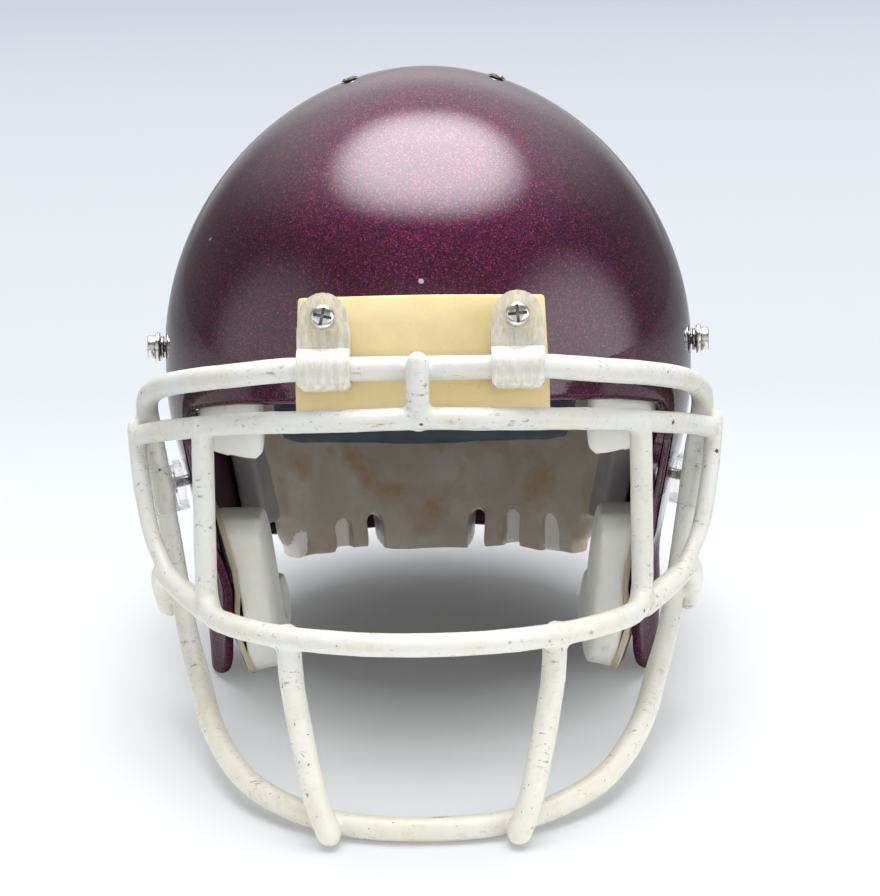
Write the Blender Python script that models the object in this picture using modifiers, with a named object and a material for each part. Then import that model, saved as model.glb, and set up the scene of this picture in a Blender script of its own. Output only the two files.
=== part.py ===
"""A full-size American football helmet with a coated wire face guard, standing on its chin bar
and jaw flaps, so that it leans back a little.

Metres, +Z up. The face looks along -Y, X runs across, and Y is zero at the widest plane of the shell.
"""

import math

import bmesh
import bpy
from mathutils import Matrix, Vector

mm = 0.001

# Shell: its form is a fuller ellipsoid that leans back, with straight skirts that tuck in below
shell_half_width = 113.3 * mm
shell_front = 119 * mm
shell_back = 155 * mm
shell_rise = 119.4 * mm
shell_skirt = 178 * mm
shell_wall = 4 * mm
plan_fullness = 2.25
crown_fullness = 1.92
shell_lean = math.radians(9)
widest_height = 143 * mm
side_tuck_share = 0.10
side_tuck_start = 15 * mm
side_tuck_run = 80 * mm
flap_taper_share = 0.035
nape_tuck_share = 0.30

# Edge of the shell, seen from the side
brow_rim_height = 149 * mm
flap_front = 60 * mm
flap_toe = 46 * mm
flap_heel = 12 * mm
neck_height = 37 * mm
nape_rim_height = 21 * mm
rim_overrun = 60 * mm
opening_corner = 22.4 * mm
temple_round = 13.9 * mm
temple_round_height = 112.6 * mm
temple_round_angle = 62
flap_toe_angle = 185
nape_start_share = 0.86
# Of the shell's front reach back from its front, and of the brow rim's height
BROW_RIM_SHARES = ((0.0, 1.0), (0.19, 0.960), (0.385, 0.903))
# Of the opening's corner radius behind the flap's front edge, and of the neck height
FLAP_EDGE_SHARES = ((0.05, 2.0), (0.25, 1.0))
# Of the run from the flap's heel to the back of the shell, and of the neck height
NECKLINE_SHARES = ((0.0, 0.07), (0.10, 0.40), (0.22, 0.82), (0.36, 1.0), (0.52, 0.90), (0.70, 0.647))

# Rings of the shell's mesh: 1 is the crown, 0 the widest line and -1 the foot of the skirt
crown_ring_level_share = 0.94
last_crown_ring_level_share = 0.06
first_skirt_ring_level_share = -0.04

# Holes in the shell
ear_hole_radius = 13 * mm
ear_hole_back = 14 * mm
ear_hole_height = 88 * mm
vent_radius = 2.6 * mm
vent_flange = 3.7 * mm
vent_bore = 1.5 * mm
vent_lip_height = 0.9 * mm
vent_depth = 3.6 * mm
vent_lip_share = 0.8
vent_spacing = 62 * mm
vent_back = 2 * mm

# Face guard wires
perimeter_wire = 9.2 * mm
brow_wire = 9.2 * mm
mouth_wire = 9.4 * mm
strut_wire = 8.6 * mm
cheek_wire = 9.4 * mm
arc_wire = 7.2 * mm
guard_half_width = 116.5 * mm
guard_overhang = 52 * mm
brow_bar_gap = 4.89 * mm
brow_bar_height = 167 * mm
brow_bar_straight = 44 * mm
lower_bar_overhang = 7.5 * mm
lower_bar_height = 149.7 * mm
mouth_half_width = 85.5 * mm
mouth_corner_set_back = 14 * mm
mouth_bar_overhang = 50 * mm
mouth_bar_height = 77 * mm
mouth_corner_height = 66 * mm
mouth_corner_radius = 11 * mm
mouth_corner_pull_share = 0.3
mouth_end_inset = 1 * mm
chin_strut_top = 48 * mm
chin_strut_foot = 35 * mm
strut_foot_height = 3.4 * mm
strut_foot_tuck = 3.2 * mm
strut_knee_out = 4.7 * mm
strut_knee_drop = 18.8 * mm
strut_low_share = 0.25
strut_bow = 2.8 * mm
weld_gap = 0.3 * mm
tube_step = 11 * mm
tube_sides = 10
rod_sides = 20

# Nose bumper
bumper_half_width = 47 * mm
bumper_top_share = 0.955
bumper_tuck = 3.4 * mm
bumper_top = 188.5 * mm
bumper_arch = 5 * mm
bumper_thickness = 7.5 * mm
bumper_edge = 1.4 * mm
bumper_gap = 0.5 * mm
seat_gap = 0.3 * mm

# Loop clips and their screws
clip_wall = 3.2 * mm
clip_width = 19.6 * mm
clip_spacing = 72 * mm
clip_bore_gap = 0.5 * mm
clip_strap_rise = 4.2 * mm
clip_top_share = 0.92
clip_chamfer = 2.6 * mm
clip_pocket_depth = 1.3 * mm
clip_pocket_share = 0.58
clip_rib = 1.8 * mm
clip_shoulder_share = 1.5
loop_end_angle = 285
loop_foot_share = 0.55
brow_clip_seat_share = 0.55
side_strap_thickness = 3.4 * mm
top_tail_length = 29 * mm
top_screw_up = 19 * mm
side_clip_width = 18 * mm
side_clip_height = 96 * mm
side_tail_length = 21 * mm
side_screw_back = 15 * mm
slot_flare_share = 1.4
slot_run_share = 1.6
flap_skin_angles = (50, 100)
flap_skin_level_shares = (0.1, -0.55)
screw_head_radius = 4.7 * mm
screw_head_height = 3 * mm
screw_radius = 2.2 * mm
# Of the pan head's radius, and of its height down from its top
PAN_HEAD_SHARES = ((0.55, 0.05), (0.85, 0.28), (1.0, 0.65))
screw_hole_gap = 0.4 * mm
screw_shank = 8 * mm
nut_flange_radius = 5.2 * mm
nut_flange_height = 1.4 * mm
nut_barrel_radius = 3.5 * mm
nut_stand_off = 2.1 * mm
barrel_depth = 1.5 * mm
nut_pocket_gap = 0.9 * mm

# Chin strap studs
stud_forward = 20 * mm
stud_height = 148 * mm
stud_cap_radius = 5.2 * mm
stud_cap_height = 4.2 * mm
stud_neck_radius = 3.2 * mm
stud_neck_height = 1.4 * mm
stud_base_radius = 6.5 * mm
stud_base_height = 2.4 * mm
stud_cap_flat_share = 0.80
stud_cap_round_share = 0.18
stud_cap_under_share = 0.30
washer_gap = 0.45 * mm
washer_crown_share = 1.15
washer_rim_share = 0.42

# Liner
pad_gap = 0.6 * mm
# Subdivision draws a coarse sheet inwards, so these start further out
lateral_pad_lift = 0.65 * mm
rear_pad_lift = 1.2 * mm
pad_crown_share = 0.72
pad_flute_share = 0.60
pad_spacing_angle = 1.5
front_pad_thickness = 17 * mm
front_pad_half_angle = 35
front_pad_foot_level_share = -0.19
brow_pads_top_level_share = 0.24
temple_pad_thickness = 15 * mm
temple_pad_end_angle = 63
temple_pad_foot_level_share = -0.235
crown_pad_thickness = 18 * mm
crown_pad_half_width = 46 * mm
crown_pad_half_length = 56 * mm
crown_pad_back_share = 0.25
lateral_pad_top_level_share = 0.52
lateral_pad_foot_level_share = 0.04
rear_pad_top_level_share = 0.50
rear_pad_foot_level_share = -0.12
nape_pad_thickness = 24 * mm
nape_pad_half_angle = 56
nape_foot_lift_share = 0.04
nape_pad_top_level_share = -0.16
nape_pad_foot_level_share = -0.64
nape_pad_foot = 13 * mm
nape_slot_depth = 17 * mm
nape_slot_width = 7.6 * mm
nape_slot_overrun = 20 * mm
nape_slot_back_share = 0.6
NAPE_SLOT_SHARES = (0.215, 0.36, 0.52)
jaw_stand_off = 1.6 * mm
jaw_base_thickness = 2.6 * mm
jaw_base_rim = 1.6 * mm
jaw_pad_edge = 6 * mm
jaw_pad_front = 50 * mm
jaw_pad_top = 79 * mm
jaw_pad_foot = 4 * mm
jaw_pad_depth = 38 * mm
jaw_horn_back = 26 * mm
jaw_horn_top = 32 * mm
jaw_inner_low = 65 * mm
jaw_inner_high = 72 * mm
jaw_top_round = 16 * mm
jaw_front_round = 12.8 * mm
jaw_foot_round = 13.7 * mm
jaw_horn_round = 11.4 * mm
jaw_notch_share = 0.55
jaw_notch_run_share = 1.1
jaw_notch_angles = (330, 200)
jaw_snap_radius = 3 * mm
jaw_snap_foot_radius = 3.9 * mm
jaw_snap_gap = 0.75 * mm
# Of the snap's radius, and of the base's thickness over the stand-off
JAW_SNAP_KNOB_SHARES = ((0.0, 0.5), (0.7, 0.5), (1.0, 0.2), (0.8, -0.1))
# Of the pad's depth and of its height
JAW_SNAP_SHARES = ((0.45, 0.82), (0.45, 0.25))

# From the shell's widest plane to the middle of the whole, guard and nape
origin_back = 21.16 * mm
cut_overrun = 3 * mm
opening_reach = 170 * mm
weld_distance = 0.01 * mm
slope_step = 0.5 * mm
SIDES = ((-1, "left"), (1, "right"))


def clear_scene():
    for old in list(bpy.data.objects):
        bpy.data.objects.remove(old, do_unlink=True)


def new_collection(name):
    collection = bpy.data.collections.new(name)
    bpy.context.scene.collection.children.link(collection)
    return collection


def material(name, colour, roughness, metallic=0.0, alpha=1.0):
    made = bpy.data.materials.new(name)
    made.use_nodes = True
    shader = made.node_tree.nodes["Principled BSDF"]
    shader.inputs["Base Color"].default_value = (*colour, 1)
    shader.inputs["Roughness"].default_value = roughness
    shader.inputs["Metallic"].default_value = metallic
    shader.inputs["Alpha"].default_value = alpha
    made.diffuse_color = (*colour, 1)
    return made


clear_scene()
parts = new_collection("football_helmet")
cutters = new_collection("cutters")
maroon = material("maroon_lacquer", (0.09, 0.01, 0.025), 0.22)
white_coat = material("white_vinyl_coat", (0.78, 0.78, 0.72), 0.4)
cream_rubber = material("cream_rubber", (0.80, 0.70, 0.42), 0.55)
clear_plastic = material("clear_plastic", (0.85, 0.86, 0.84), 0.2, alpha=0.5)
steel = material("plated_steel", (0.70, 0.69, 0.66), 0.25, metallic=1.0)
navy_vinyl = material("navy_vinyl", (0.015, 0.03, 0.05), 0.5)
pale_vinyl = material("off_white_vinyl", (0.66, 0.63, 0.55), 0.5)
taupe_vinyl = material("taupe_vinyl", (0.36, 0.31, 0.26), 0.55)
taupe_plastic = material("taupe_plastic", (0.50, 0.42, 0.30), 0.5)
dark_rubber = material("dark_rubber", (0.05, 0.05, 0.05), 0.6)


def add(name, mesh, look, collection=parts):
    made = bpy.data.objects.new(name, mesh)
    collection.objects.link(made)
    if collection is cutters:
        made.hide_render = True
        made.display_type = "WIRE"
    else:
        mesh.materials.append(look)
    return made


def mesh_of(work, name):
    """The finished mesh, with its faces pointing outwards."""
    bmesh.ops.recalc_face_normals(work, faces=work.faces)
    mesh = bpy.data.meshes.new(name)
    work.to_mesh(mesh)
    work.free()
    return mesh


def smooth(made, degrees=35):
    made.data.shade_smooth()
    made.data.set_sharp_from_angle(angle=math.radians(degrees))


def cut(piece, tool, operation="DIFFERENCE"):
    boolean = piece.modifiers.new(tool.name, "BOOLEAN")
    boolean.operation = operation
    boolean.solver = "EXACT"
    boolean.object = tool


def bevel(piece, width, segments=2, degrees=40):
    edge = piece.modifiers.new("edge", "BEVEL")
    edge.width = width
    edge.segments = segments
    edge.limit_method = "ANGLE"
    edge.angle_limit = math.radians(degrees)


def solid_from(made, look, collection=parts):
    """The evaluated shape of a curve or of a piece with modifiers, as one plain mesh object."""
    graph = bpy.context.evaluated_depsgraph_get()
    graph.update()
    mesh = bpy.data.meshes.new_from_object(made.evaluated_get(graph))
    work = bmesh.new()
    work.from_mesh(mesh)
    bmesh.ops.remove_doubles(work, verts=work.verts, dist=weld_distance)
    name = made.name
    place = made.matrix_world.copy()
    bpy.data.objects.remove(made, do_unlink=True)
    mesh.materials.clear()
    fresh = mesh_of(work, name)
    solid = add(name, fresh, look, collection)
    solid.matrix_world = place
    return solid


# The form of the shell


def lean(point):
    """From the helmet's upright frame, centred on its widest plane, to the leaning one."""
    return Vector((
        point[0],
        point[1] * math.cos(shell_lean) + point[2] * math.sin(shell_lean),
        widest_height - point[1] * math.sin(shell_lean) + point[2] * math.cos(shell_lean),
    ))


def upright(point):
    y = point[1]
    z = point[2] - widest_height
    return (
        point[0],
        y * math.cos(shell_lean) - z * math.sin(shell_lean),
        y * math.sin(shell_lean) + z * math.cos(shell_lean),
    )


def ease(share):
    share = min(max(share, 0.0), 1.0)
    return share * share * (3 - 2 * share)


def half_width_at(drop, inset):
    tuck = side_tuck_share * ease((drop - side_tuck_start) / side_tuck_run)
    taper = flap_taper_share * ease(drop / shell_skirt)
    return (shell_half_width - inset) * (1 - tuck - taper)


def reach_at(forward, drop, inset):
    if forward:
        return shell_front - inset
    return (shell_back - inset) * (1 - nape_tuck_share * ease(drop / shell_skirt))


def shell_point(angle, level, inset=0.0):
    """A point of the outer surface, or of one that lies further in by the inset.

    The angle turns from the front to the right side. The level is 1 at the crown, 0 at the
    widest line and -1 at the foot of the skirt.
    """
    tilt = max(level, 0.0) * math.pi / 2
    drop = max(-level, 0.0) * shell_skirt
    across = math.sin(angle)
    along = -math.cos(angle)
    plan = (abs(across) ** plan_fullness + abs(along) ** plan_fullness) ** (-1 / plan_fullness)
    level_size = plan * abs(math.cos(tilt)) ** (2 / crown_fullness)
    rise = math.sin(tilt) ** (2 / crown_fullness)
    return lean((
        half_width_at(drop, inset) * across * level_size,
        reach_at(along < 0, drop, inset) * along * level_size,
        (shell_rise - inset) * rise - drop,
    ))


def fullness_at(point, inset):
    """Below 1 inside the form and above 1 outside it."""
    x, y, z = upright(point)
    drop = max(-z, 0.0)
    across = abs(x) / half_width_at(drop, inset)
    along = abs(y) / reach_at(y < 0, drop, inset)
    rise = max(z, 0.0) / (shell_rise - inset)
    plan = (across**plan_fullness + along**plan_fullness) ** (1 / plan_fullness)
    return plan**crown_fullness + rise**crown_fullness


def on_shell(start, direction, inset=0.0):
    """Where a line from a point inside the form leaves it."""
    start = Vector(start)
    direction = Vector(direction).normalized()
    near = 0.0
    far = shell_back + shell_rise
    for _ in range(40):
        middle = (near + far) / 2
        if fullness_at(start + direction * middle, inset) < 1:
            near = middle
        else:
            far = middle
    return start + direction * near


def normal_at(point):
    slope = [
        fullness_at(point + axis * slope_step, 0.0) - fullness_at(point - axis * slope_step, 0.0)
        for axis in (Vector((1, 0, 0)), Vector((0, 1, 0)), Vector((0, 0, 1)))
    ]
    return Vector(slope).normalized()


def patch_mesh(name, angles, levels, inset, foot_lift=0.0):
    """An open sheet on the form, with its faces outwards. The lift raises its foot's corners."""
    work = bmesh.new()
    middle = (angles[0] + angles[-1]) / 2
    half = (angles[-1] - angles[0]) / 2
    rows = []
    for level in levels:
        down = (levels[0] - level) / (levels[0] - levels[-1])
        lifted = [level + foot_lift * down * ((a - middle) / half) ** 2 for a in angles]
        rows.append([work.verts.new(shell_point(a, v, inset)) for a, v in zip(angles, lifted)])
    for upper, lower in zip(rows, rows[1:]):
        for i in range(len(angles) - 1):
            work.faces.new((upper[i], lower[i], lower[i + 1], upper[i + 1]))
    mesh = bpy.data.meshes.new(name)
    work.to_mesh(mesh)
    work.free()
    return mesh


def spread(first, last, count):
    return [first + (last - first) * i / count for i in range(count + 1)]


# Flat outlines


def outline_curve(name, splines, half_thickness, collection=cutters, look=None):
    """A filled flat outline in the curve's own XY plane, thick by twice the half thickness."""
    curve = bpy.data.curves.new(name, "CURVE")
    curve.dimensions = "2D"
    curve.fill_mode = "BOTH"
    curve.extrude = half_thickness
    for points in splines:
        spline = curve.splines.new("POLY")
        spline.points.add(len(points) - 1)
        for place, point in zip(spline.points, points):
            place.co = (point[0], point[1], 0, 1)
        spline.use_cyclic_u = True
    made = bpy.data.objects.new(name, curve)
    collection.objects.link(made)
    return solid_from(made, look, collection)


def arc(centre, radius, first, last, count):
    """Points of an arc, in degrees, from the first angle to the last."""
    return [
        (
            centre[0] + radius * math.cos(math.radians(a)),
            centre[1] + radius * math.sin(math.radians(a)),
        )
        for a in spread(first, last, count)
    ]


def smooth_route(stations, step, cyclic=False):
    """Points along a smooth curve through the stations, about one step apart."""
    stations = [Vector(s) for s in stations]
    count = len(stations)
    spans = count if cyclic else count - 1
    route = []
    for i in range(spans):
        here = stations[i]
        there = stations[(i + 1) % count]
        before = stations[i - 1] if cyclic or i > 0 else here - (there - here)
        after = stations[(i + 2) % count] if cyclic or i + 2 < count else there + (there - here)
        run = (there - here).length
        leave = (there - before) * run / max((there - here).length + (here - before).length, step)
        arrive = (after - here) * run / max((after - there).length + (there - here).length, step)
        pieces = max(1, round(run / step))
        for j in range(pieces):
            t = j / pieces
            route.append(
                here * (2 * t**3 - 3 * t**2 + 1)
                + leave * (t**3 - 2 * t**2 + t)
                + there * (3 * t**2 - 2 * t**3)
                + arrive * (t**3 - t**2)
            )
    if not cyclic:
        route.append(stations[-1])
    return route


def tube(name, route, diameter, look, collection=parts, cyclic=False, resolution=3):
    """A wire along the route. It is a plain mesh, so that it can be cut or be a cutter."""
    curve = bpy.data.curves.new(name, "CURVE")
    curve.dimensions = "3D"
    curve.bevel_depth = diameter / 2
    curve.bevel_resolution = resolution
    curve.use_fill_caps = not cyclic
    spline = curve.splines.new("POLY")
    spline.points.add(len(route) - 1)
    for place, point in zip(spline.points, route):
        place.co = (*point, 1)
    spline.use_cyclic_u = cyclic
    made = bpy.data.objects.new(name, curve)
    collection.objects.link(made)
    solid = solid_from(made, look, collection)
    if collection is parts:
        smooth(solid)
    return solid


def turned(name, profile, place, look, steps=20, collection=parts):
    """A turned piece: the profile holds (radius, height) pairs, from the top down, round local Z."""
    mesh = bpy.data.meshes.new(name)
    points = [(radius, 0, height) for radius, height in profile]
    mesh.from_pydata(points, [(i, i + 1) for i in range(len(points) - 1)], [])
    made = add(name, mesh, look, collection)
    turn = made.modifiers.new("turn", "SCREW")
    turn.axis = "Z"
    turn.steps = steps
    turn.render_steps = steps
    turn.use_merge_vertices = True
    turn.merge_threshold = weld_distance
    turn.use_normal_calculate = True
    made.matrix_world = place
    solid = solid_from(made, look, collection)
    if collection is parts:
        smooth(solid)
    return solid


def rod(name, start, end, radius, look=None, collection=cutters, segments=rod_sides):
    """A plain cylinder between two points."""
    start = Vector(start)
    end = Vector(end)
    work = bmesh.new()
    bmesh.ops.create_cone(
        work,
        cap_ends=True,
        segments=segments,
        radius1=radius,
        radius2=radius,
        depth=(end - start).length,
    )
    made = add(name, mesh_of(work, name), look, collection)
    turn = (end - start).to_track_quat("Z", "Y").to_matrix().to_4x4()
    made.matrix_world = Matrix.Translation((start + end) / 2) @ turn
    return made


def frame_at(point, outward, up):
    """A place whose Z points outward and whose Y points up, as nearly as it can."""
    z = Vector(outward).normalized()
    x = Vector(up).cross(z).normalized()
    y = z.cross(x)
    return Matrix((
        (x[0], y[0], z[0], point[0]),
        (x[1], y[1], z[1], point[1]),
        (x[2], y[2], z[2], point[2]),
        (0, 0, 0, 1),
    ))


# Routes of the face guard's wires, the right half first, in shares of its sizes

# Across, forward and up: of the half width, the reach and the height of the straight brow bar
PERIMETER_SHARES = (
    (0.592, 0.688, 0.980),
    (0.815, 0.522, 0.916),
    (0.945, 0.384, 0.855),
    (0.992, 0.316, 0.800),
    (0.990, 0.301, 0.735),
    (0.972, 0.303, 0.660),
    (0.943, 0.317, 0.520),
    (0.905, 0.354, 0.375),
    (0.856, 0.436, 0.245),
    (0.797, 0.530, 0.163),
    (0.725, 0.680, 0.109),
    (0.600, 0.830, 0.066),
    (0.438, 0.925, 0.043),
    (0.240, 0.983, 0.030),
)
# Of the half width, the lower brow bar's forward reach and its height
LOWER_BAR_SHARES = (
    (0.260, 0.985, 0.992),
    (0.590, 0.880, 0.960),
    (0.830, 0.680, 0.893),
    (0.945, 0.530, 0.845),
    (1.008, 0.475, 0.822),
)
# Of the half width, the mouth bar's forward reach and its height
ARC_SHARES = (
    (1.036, 0.322, 1.640),
    (1.026, 0.352, 1.500),
    (1.008, 0.390, 1.330),
    (0.970, 0.440, 1.090),
    (0.895, 0.515, 0.925),
)
CHEEK_SHARES = (
    (0.952, 0.340, 0.600),
    (0.953, 0.402, 0.779),
    (0.923, 0.484, 0.922),
    (0.858, 0.552, 0.909),
    (0.735, 0.652, 0.857),
)


def brow_bar_forward():
    """The brow bar lies against the bumper's face, and the other wires hang out from it."""
    bumper_face = bumper_gap + bumper_thickness - brow_point(0, brow_bar_height).y
    return bumper_face + brow_bar_gap + perimeter_wire / 2


def guard_reach():
    return brow_bar_forward() + guard_overhang


def lower_bar_forward():
    return brow_bar_forward() + lower_bar_overhang


def mouth_corner_forward():
    return brow_bar_forward() - mouth_corner_set_back


def mouth_bar_forward():
    return brow_bar_forward() + mouth_bar_overhang


def route_stations(shares, across, forward, up, side=1):
    return [Vector((side * x * across, -y * forward, z * up)) for x, y, z in shares]


def perimeter_route():
    middle = Vector((0, -brow_bar_forward(), brow_bar_height))
    straight = Vector((brow_bar_straight, -brow_bar_forward(), brow_bar_height))
    bend = Vector((brow_bar_straight + perimeter_wire / 2, -brow_bar_forward(), brow_bar_height))
    chin = Vector((0, -guard_reach(), perimeter_wire / 2))
    half = [straight, bend]
    half += route_stations(PERIMETER_SHARES, guard_half_width, guard_reach(), brow_bar_height)
    mirrored = [Vector((-p.x, p.y, p.z)) for p in reversed(half)]
    return smooth_route([middle, *half, chin, *mirrored], tube_step, cyclic=True)


def lower_bar_route():
    middle = Vector((0, -lower_bar_forward(), lower_bar_height))
    half = route_stations(
        LOWER_BAR_SHARES, guard_half_width, lower_bar_forward(), lower_bar_height
    )
    mirrored = [Vector((-p.x, p.y, p.z)) for p in reversed(half)]
    return smooth_route([*mirrored, middle, *half], tube_step)


def mouth_arch():
    """The mouth bar's arch, from the left corner to the right one: an arc seen from above."""
    depth = mouth_bar_forward() - mouth_corner_forward()
    radius = (mouth_half_width**2 + depth**2) / (2 * depth)
    sweep = math.asin(min(mouth_half_width / radius, 1))
    points = []
    for a in spread(-sweep, sweep, 16):
        forward = mouth_bar_forward() - radius * (1 - math.cos(a))
        share = (mouth_bar_forward() - forward) / depth
        height = mouth_bar_height + (mouth_corner_height - mouth_bar_height) * share
        points.append(Vector((radius * math.sin(a), -forward, height)))
    return points


def nearest_height(route, x):
    """The point of a route that lies nearest to a place across, on the right side."""
    return min(route, key=lambda p: abs(p.x - x))


def mouth_route(lower_bar):
    """Down from the lower brow bar, round a tight corner, along the arch and up again."""
    arch = mouth_arch()
    top = nearest_height(lower_bar, mouth_half_width)
    ends = []
    for corner, inward in ((arch[0], arch[1]), (arch[-1], arch[-2])):
        side = 1 if corner.x > 0 else -1
        high = Vector((side * (mouth_half_width - mouth_end_inset), top.y, top.z))
        down = (high - corner).normalized()
        along = (inward - corner).normalized()
        turn = [
            corner + down * mouth_corner_radius,
            corner + (down + along) * mouth_corner_radius * mouth_corner_pull_share,
            corner + along * mouth_corner_radius,
        ]
        ends.append(([high, (high + turn[0]) / 2], turn))
    left, right = ends
    return [*left[0], *left[1], *arch[2:-2], *reversed(right[1]), *reversed(right[0])]


def guard_wires():
    """The welded wires, each cut to sit against the ones it is welded to."""
    around = perimeter_route()
    lower = lower_bar_route()
    mouth = mouth_route(lower)
    fat = 2 * weld_gap
    grow = 1 / math.cos(math.pi / tube_sides)
    clear_around = tube(
        "clear_perimeter", around, (perimeter_wire + fat) * grow, None, cutters, cyclic=True
    )
    clear_lower = tube("clear_lower_bar", lower, (brow_wire + fat) * grow, None, cutters)
    clear_mouth = tube("clear_mouth", mouth, (mouth_wire + fat) * grow, None, cutters)

    tube("guard_perimeter_wire", around, perimeter_wire, white_coat, cyclic=True)
    lower_bar = tube("guard_lower_brow_bar", lower, brow_wire, white_coat)
    cut(lower_bar, clear_around)
    mouth_piece = tube("guard_mouth_wire", mouth, mouth_wire, white_coat)
    cut(mouth_piece, clear_lower)

    stub_y = -(brow_bar_forward() + (perimeter_wire + strut_wire) / 2 + weld_gap)
    stub_top = brow_bar_height + perimeter_wire
    stub_foot = lower_bar_height - brow_wire / 4
    stub_route = [
        Vector((0, stub_y, stub_top)),
        Vector((0, stub_y, (stub_top + stub_foot) / 2)),
        Vector((0, stub_y, stub_foot)),
    ]
    stub = tube("guard_centre_stub", stub_route, strut_wire, white_coat)
    cut(stub, clear_around)
    cut(stub, clear_lower)

    arch = mouth_arch()
    for side, label in SIDES:
        arc_stations = route_stations(
            ARC_SHARES, guard_half_width, mouth_bar_forward(), mouth_bar_height, side
        )
        arc_route = smooth_route(arc_stations, tube_step)
        side_arc = tube(f"guard_side_arc_{label}", arc_route, arc_wire, white_coat)
        cut(side_arc, clear_around)
        cut(side_arc, clear_lower)

        cheek_stations = route_stations(
            CHEEK_SHARES, guard_half_width, mouth_bar_forward(), mouth_bar_height, side
        )
        cheek_route = smooth_route(cheek_stations, tube_step)
        cheek = tube(f"guard_cheek_strut_{label}", cheek_route, cheek_wire, white_coat)
        cut(cheek, clear_around)
        cut(cheek, clear_mouth)
        clear_cheek = tube(
            f"clear_cheek_{label}", cheek_route, (cheek_wire + fat) * grow, None, cutters
        )
        cut(side_arc, clear_cheek)

        head = min(arch, key=lambda p: abs(p.x - side * chin_strut_top))
        front = -(guard_reach() + (perimeter_wire + strut_wire) / 2 + weld_gap)
        foot = Vector((side * chin_strut_foot, front + strut_foot_tuck, 0))
        strut_stations = [
            Vector((side * chin_strut_top, head.y, head.z)),
            Vector((side * chin_strut_top, head.y - strut_knee_out, head.z - strut_knee_drop)),
            foot + (head - foot) * strut_low_share - Vector((0, strut_bow, 0)),
            foot + Vector((0, 0, strut_foot_height)),
        ]
        strut = tube(
            f"guard_chin_strut_{label}",
            smooth_route(strut_stations, tube_step),
            brow_wire,
            white_coat,
        )
        cut(strut, clear_mouth)
        cut(strut, clear_around)
    return around


# Shell


def brow_rim():
    """The rim over the face, as (y, z) points from the front back to the temple."""
    return [
        (-shell_front + shell_front * y, brow_rim_height * z) for y, z in BROW_RIM_SHARES
    ]


def side_outline():
    """The region that the face opening and the neckline take away, as (y, z) points."""
    far = shell_back + rim_overrun
    low = widest_height - shell_skirt - rim_overrun
    corner = opening_corner
    rear_run = shell_back - flap_heel
    points = [(-far, brow_rim_height), *brow_rim()]
    points += arc((-flap_front - temple_round, temple_round_height), temple_round, temple_round_angle, 0, 4)
    points += [(-flap_front + corner * y, neck_height * z) for y, z in FLAP_EDGE_SHARES]
    points += arc((-flap_toe + corner, corner), corner, flap_toe_angle, 270, 6)
    points += [(-flap_heel + rear_run * y, neck_height * z) for y, z in NECKLINE_SHARES]
    points += [
        (-flap_heel + rear_run * nape_start_share, nape_rim_height),
        (far, nape_rim_height),
        (far, low),
        (-far, low),
    ]
    return points


def hole_through(name, point, radius, depth):
    """A round cutter square to the shell, through a point of its surface."""
    outward = normal_at(point)
    return rod(name, point - outward * depth, point + outward * depth, radius)


def side_point(y, z, side, inset=0.0):
    return on_shell((0, y, z), (side, 0, 0), inset)


def brow_point(x, z, inset=0.0):
    return on_shell((x, 0, z), (0, -1, 0), inset)


def vent_point(side):
    return on_shell((side * vent_spacing / 2, vent_back, widest_height), (0, 0, 1))


def shell():
    angles = spread(0, 2 * math.pi, 52)
    levels = spread(crown_ring_level_share, last_crown_ring_level_share, 10)
    levels += spread(first_skirt_ring_level_share, -1.0, 9)
    work = bmesh.new()
    rows = [[work.verts.new(shell_point(a, v)) for a in angles[:-1]] for v in levels]
    count = len(angles) - 1
    for upper, lower in zip(rows, rows[1:]):
        for i in range(count):
            j = (i + 1) % count
            work.faces.new((upper[i], lower[i], lower[j], upper[j]))
    crown = work.verts.new(shell_point(0, 1.0))
    for i in range(count):
        work.faces.new((crown, rows[0][i], rows[0][(i + 1) % count]))
    mesh = mesh_of(work, "shell")
    made = add("shell", mesh, maroon)
    wall = made.modifiers.new("wall", "SOLIDIFY")
    wall.thickness = shell_wall
    wall.offset = -1
    wall.use_even_offset = True

    opening = outline_curve("face_and_neck_opening", [side_outline()], opening_reach)
    # The flat outline's X and Y become the helmet's Y and Z
    opening.matrix_world = Matrix(((0, 0, 1, 0), (1, 0, 0, 0), (0, 1, 0, 0), (0, 0, 0, 1)))
    cut(made, opening)
    through = shell_wall * 3
    for side, label in SIDES:
        ear = side_point(ear_hole_back, ear_hole_height, side)
        cut(made, hole_through(f"ear_hole_{label}", ear, ear_hole_radius, through))
        cut(made, hole_through(f"vent_hole_{label}", vent_point(side), vent_radius, through))
        for name, point, outward in fastener_places(side, label):
            hole = rod(
                f"{name}_shell_hole",
                point - outward * through,
                point + outward * through,
                nut_barrel_radius + seat_gap,
            )
            cut(made, hole)
    smooth(made)
    return made


# Fasteners: each goes along its own axis through what it holds


def side_wire_point(side):
    """Where the upright passes the side clip, and the direction in which it runs there."""
    route = [p for p in perimeter_route() if p.x > shell_half_width / 2]
    above = min((p for p in route if p.z > side_clip_height), key=lambda p: p.z)
    below = max((p for p in route if p.z <= side_clip_height), key=lambda p: p.z)
    share = (side_clip_height - below.z) / (above.z - below.z)
    point = below + (above - below) * share
    along = (above - below).normalized()
    flip = Vector((side, 1, 1))
    return point * flip, along * flip


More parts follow.
